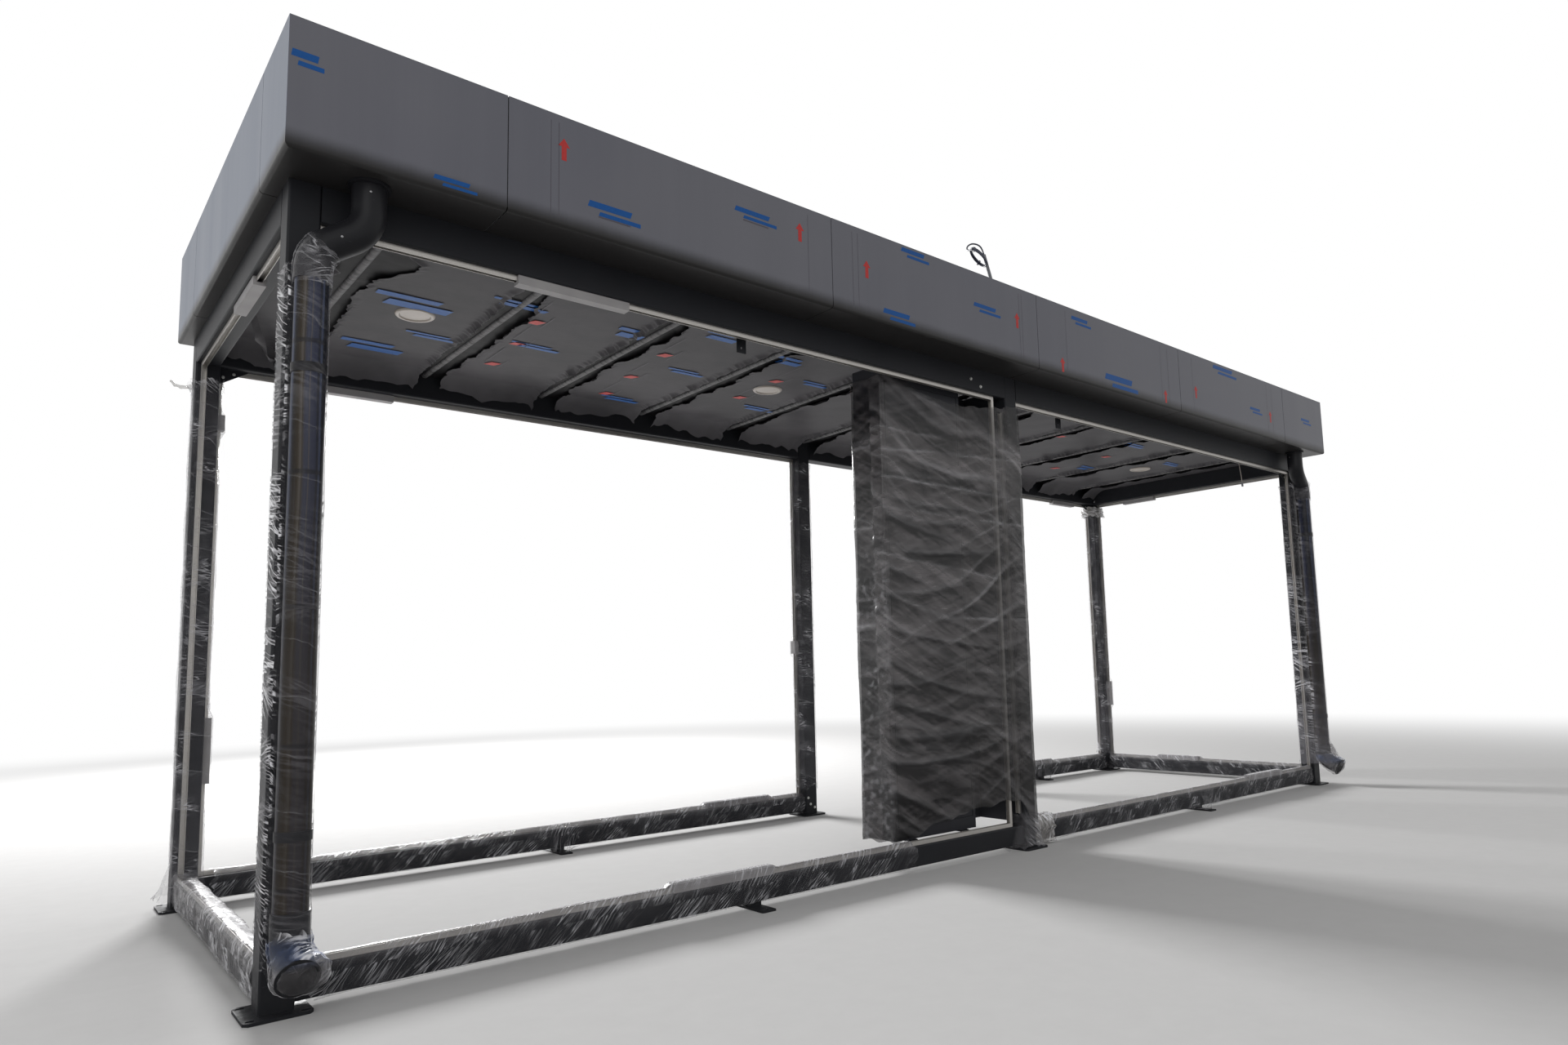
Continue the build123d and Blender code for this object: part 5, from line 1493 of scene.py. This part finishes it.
copies("print_slashes", slash_shape, slash_places, red_ink)
copies("print_bars", bars_shape, bar_places, blue_ink)
copies("print_hairlines", hairline_shape, line_places, line_ink)

# %% [markdown]
# ## The loose cable on the roof and the hanging lead
# Both are cords of a fixed length. Their line is a NURBS spline on the same route points as
# in the CAD. The roof cable leaves its conduit, goes over a hump and ends in two and a bit
# turns, which are points on a circle that opens a little with each turn, worked out here.

# %% Cords
def cord_curve(name, points, diameter):
    curve = bpy.data.curves.new(name, "CURVE")
    curve.dimensions = "3D"
    spline = curve.splines.new("NURBS")
    spline.points.add(len(points) - 1)
    for target, source in zip(spline.points, points):
        target.co = (*source, 1.0)
    spline.order_u = 3
    spline.use_endpoint_u = True
    spline.resolution_u = 6
    curve.bevel_depth = diameter / 2
    curve.bevel_resolution = 4
    curve.use_fill_caps = True
    return in_scene(name, curve)


def spline_length(obj):
    """The length of the cord's middle line, measured on a copy without thickness."""
    bare = obj.data.copy()
    bare.bevel_depth = 0.0
    probe = in_scene("probe", bare)
    mesh = bpy.data.meshes.new_from_object(probe.evaluated_get(bpy.context.evaluated_depsgraph_get()))
    line = [v.co.copy() for v in mesh.vertices]
    bpy.data.objects.remove(probe)
    return sum((b - a).length for a, b in zip(line, line[1:]))


# %% Roof cable
mouth = Vector((-0.061811, -0.820, 3.38306))
cable_points = [
    mouth + Vector(offset)
    for offset in (
        (0, 0, 0), (-0.014235, 0, 0.035232), (-0.0342, 0.014, 0.059),
        (-0.0662, 0.036, 0.063), (-0.0932, 0.046, 0.041), (-0.1072, 0.036, 0.013),
    )
]
coil_middle = mouth + Vector((-0.0832, -0.029, -0.049))
coil_axis = Vector((0.51, -0.47, 0.72)).normalized()
coil_high = Vector((-0.65, 0.33, 0.68))
coil_high = (coil_high - coil_axis * coil_high.dot(coil_axis)).normalized()
coil_side = coil_axis.cross(coil_high)
cable_points.append(coil_middle + coil_high * 0.066 - coil_side * 0.020)
turns, per_turn = 2.3, 14
total_steps = round(turns * per_turn)
for i in range(total_steps + 1):
    angle = 2 * math.pi * i / per_turn
    share = i / total_steps
    radius = 0.0600 + 0.0085 * math.sin(2.1 * angle) * share + 0.006 * (1 - share)
    rise = -0.0075 + 0.0155 * share
    spot = coil_middle + coil_high * (radius * math.cos(angle)) + coil_side * (radius * math.sin(angle))
    cable_points.append(spot + coil_axis * rise)

roof_cord = cord_curve("roof_cable_cord", cable_points, 0.009)
roof_length = spline_length(roof_cord)
print("roof cable length", round(roof_length, 4))
piece(roof_cord, cable_sheath)
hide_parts("roof_cable", "roof_cable_coil")

# %% Ties that hold the turns together: flat bands, each of four loops that are joined in turn
tie_points, tie_faces, loop_size = [], [], 20
for degrees in (30, 250):
    outward = coil_high * math.cos(math.radians(degrees)) + coil_side * math.sin(math.radians(degrees))
    half_width = coil_axis.cross(outward).normalized() * 0.003
    middle = coil_middle + outward * 0.0605
    oval = []
    for i in range(loop_size):
        b = 2 * math.pi * i / loop_size
        oval.append(outward * (0.0135 * math.cos(b)) + coil_axis * (0.0150 * math.sin(b)))
    first = len(tie_points)
    tie_points += [middle + p - half_width for p in oval] + [middle + p + half_width for p in oval]
    tie_points += [middle + p * 0.90 + half_width * 0.80 for p in oval]
    tie_points += [middle + p * 0.90 - half_width for p in oval]
    whole = 4 * loop_size
    tie_faces += [tuple(first + v % whole for v in face) for face in joined(5, loop_size, closed=True)]
tie_object = mesh_object("roof_cable_ties", tie_points, tie_faces)
face_outward(tie_object.data)
piece(tie_object, cable_sheath)

# %% Hanging lead
lead_x, lead_y, lead_top = 2.974, -0.790, 2.614
lead_drop, lead_sway = 0.244, 0.036
lead_shape = ((0, 0), (0, 0.18), (0.17, 0.40), (0.56, 0.64), (0.89, 0.84), (1, 1))
lead_points = [
    Vector((lead_x + across * lead_sway, lead_y, lead_top - fall * lead_drop)) for across, fall in lead_shape
]
lead_cord = cord_curve("hanging_lead_cord", lead_points, 0.005)
lead_length = spline_length(lead_cord)
print("hanging lead length", round(lead_length, 4))
piece(lead_cord, light_trim)
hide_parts("hanging_lead")

# %% [markdown]
# ## Floor, backdrop and light
# The floor is pale and catches the shadow. Far away it turns into plain white for the camera,
# so it meets the white world with no line. Light comes from a wide soft box above the road
# side and a weaker one behind the camera, as daylight did in the photograph.

# %% Stage and light
white_light = (1, 1, 1)
floor_material = bpy.data.materials.new("pale_floor")
n = Nodes(emptied(floor_material))
place = n.node("ShaderNodeTexCoord")["Object"]
distance = n.node("ShaderNodeVectorMath", {0: place}, operation="LENGTH")["Value"]
seen = n.node("ShaderNodeLightPath")
far_off = n.times(n.step(distance, 5.5, 15.0), n.larger(seen["Is Camera Ray"], seen["Is Glossy Ray"]))
grit = n.mix(n.noise(place, 9.0, 6.0, 0.7), (0.66, 0.655, 0.65), (0.72, 0.715, 0.71))
ground = n.node("ShaderNodeBsdfDiffuse", {"Color": grit})[0]
glow = n.node("ShaderNodeEmission", {"Color": white_light})[0]
blended = n.node("ShaderNodeMixShader", {0: far_off, 1: ground, 2: glow})[0]
n.node("ShaderNodeOutputMaterial", {"Surface": blended})
floor = mesh_object("floor", [(-60, -60, 0), (60, -60, 0), (60, 60, 0), (-60, 60, 0)], [(0, 1, 2, 3)])
floor.data.materials.append(floor_material)

world = bpy.data.worlds.new("studio")
bpy.context.scene.world = world
n = Nodes(emptied(world))
seen = n.node("ShaderNodeLightPath")
direct = n.larger(n.larger(seen["Is Camera Ray"], seen["Is Glossy Ray"]), seen["Is Transmission Ray"])
strength = n.plus(n.times(direct, 0.55), 0.45)
background = n.node("ShaderNodeBackground", {"Color": white_light, "Strength": strength})[0]
n.node("ShaderNodeOutputWorld", {"Surface": background})


def soft_box(name, place, target, size, power):
    data = bpy.data.lights.new(name, "AREA")
    data.shape = "RECTANGLE"
    data.size, data.size_y = size
    data.energy = power
    lamp = in_scene(name, data)
    lamp.location = place
    lamp.rotation_euler = (Vector(target) - Vector(place)).to_track_quat("-Z", "Y").to_euler()


soft_box("road_side_box", (-0.8, 9.5, 5.4), (0, 0, 1.2), (3.6, 3.0), 1400)
soft_box("front_fill_box", (-7.5, -8.0, 4.5), (0, 0, 1.4), (6.0, 5.0), 140)
bpy.context.scene.view_settings.view_transform = "Standard"

# %% Count of the pieces and their faces
print("pieces:", len(made), "faces:", sum(made.values()))
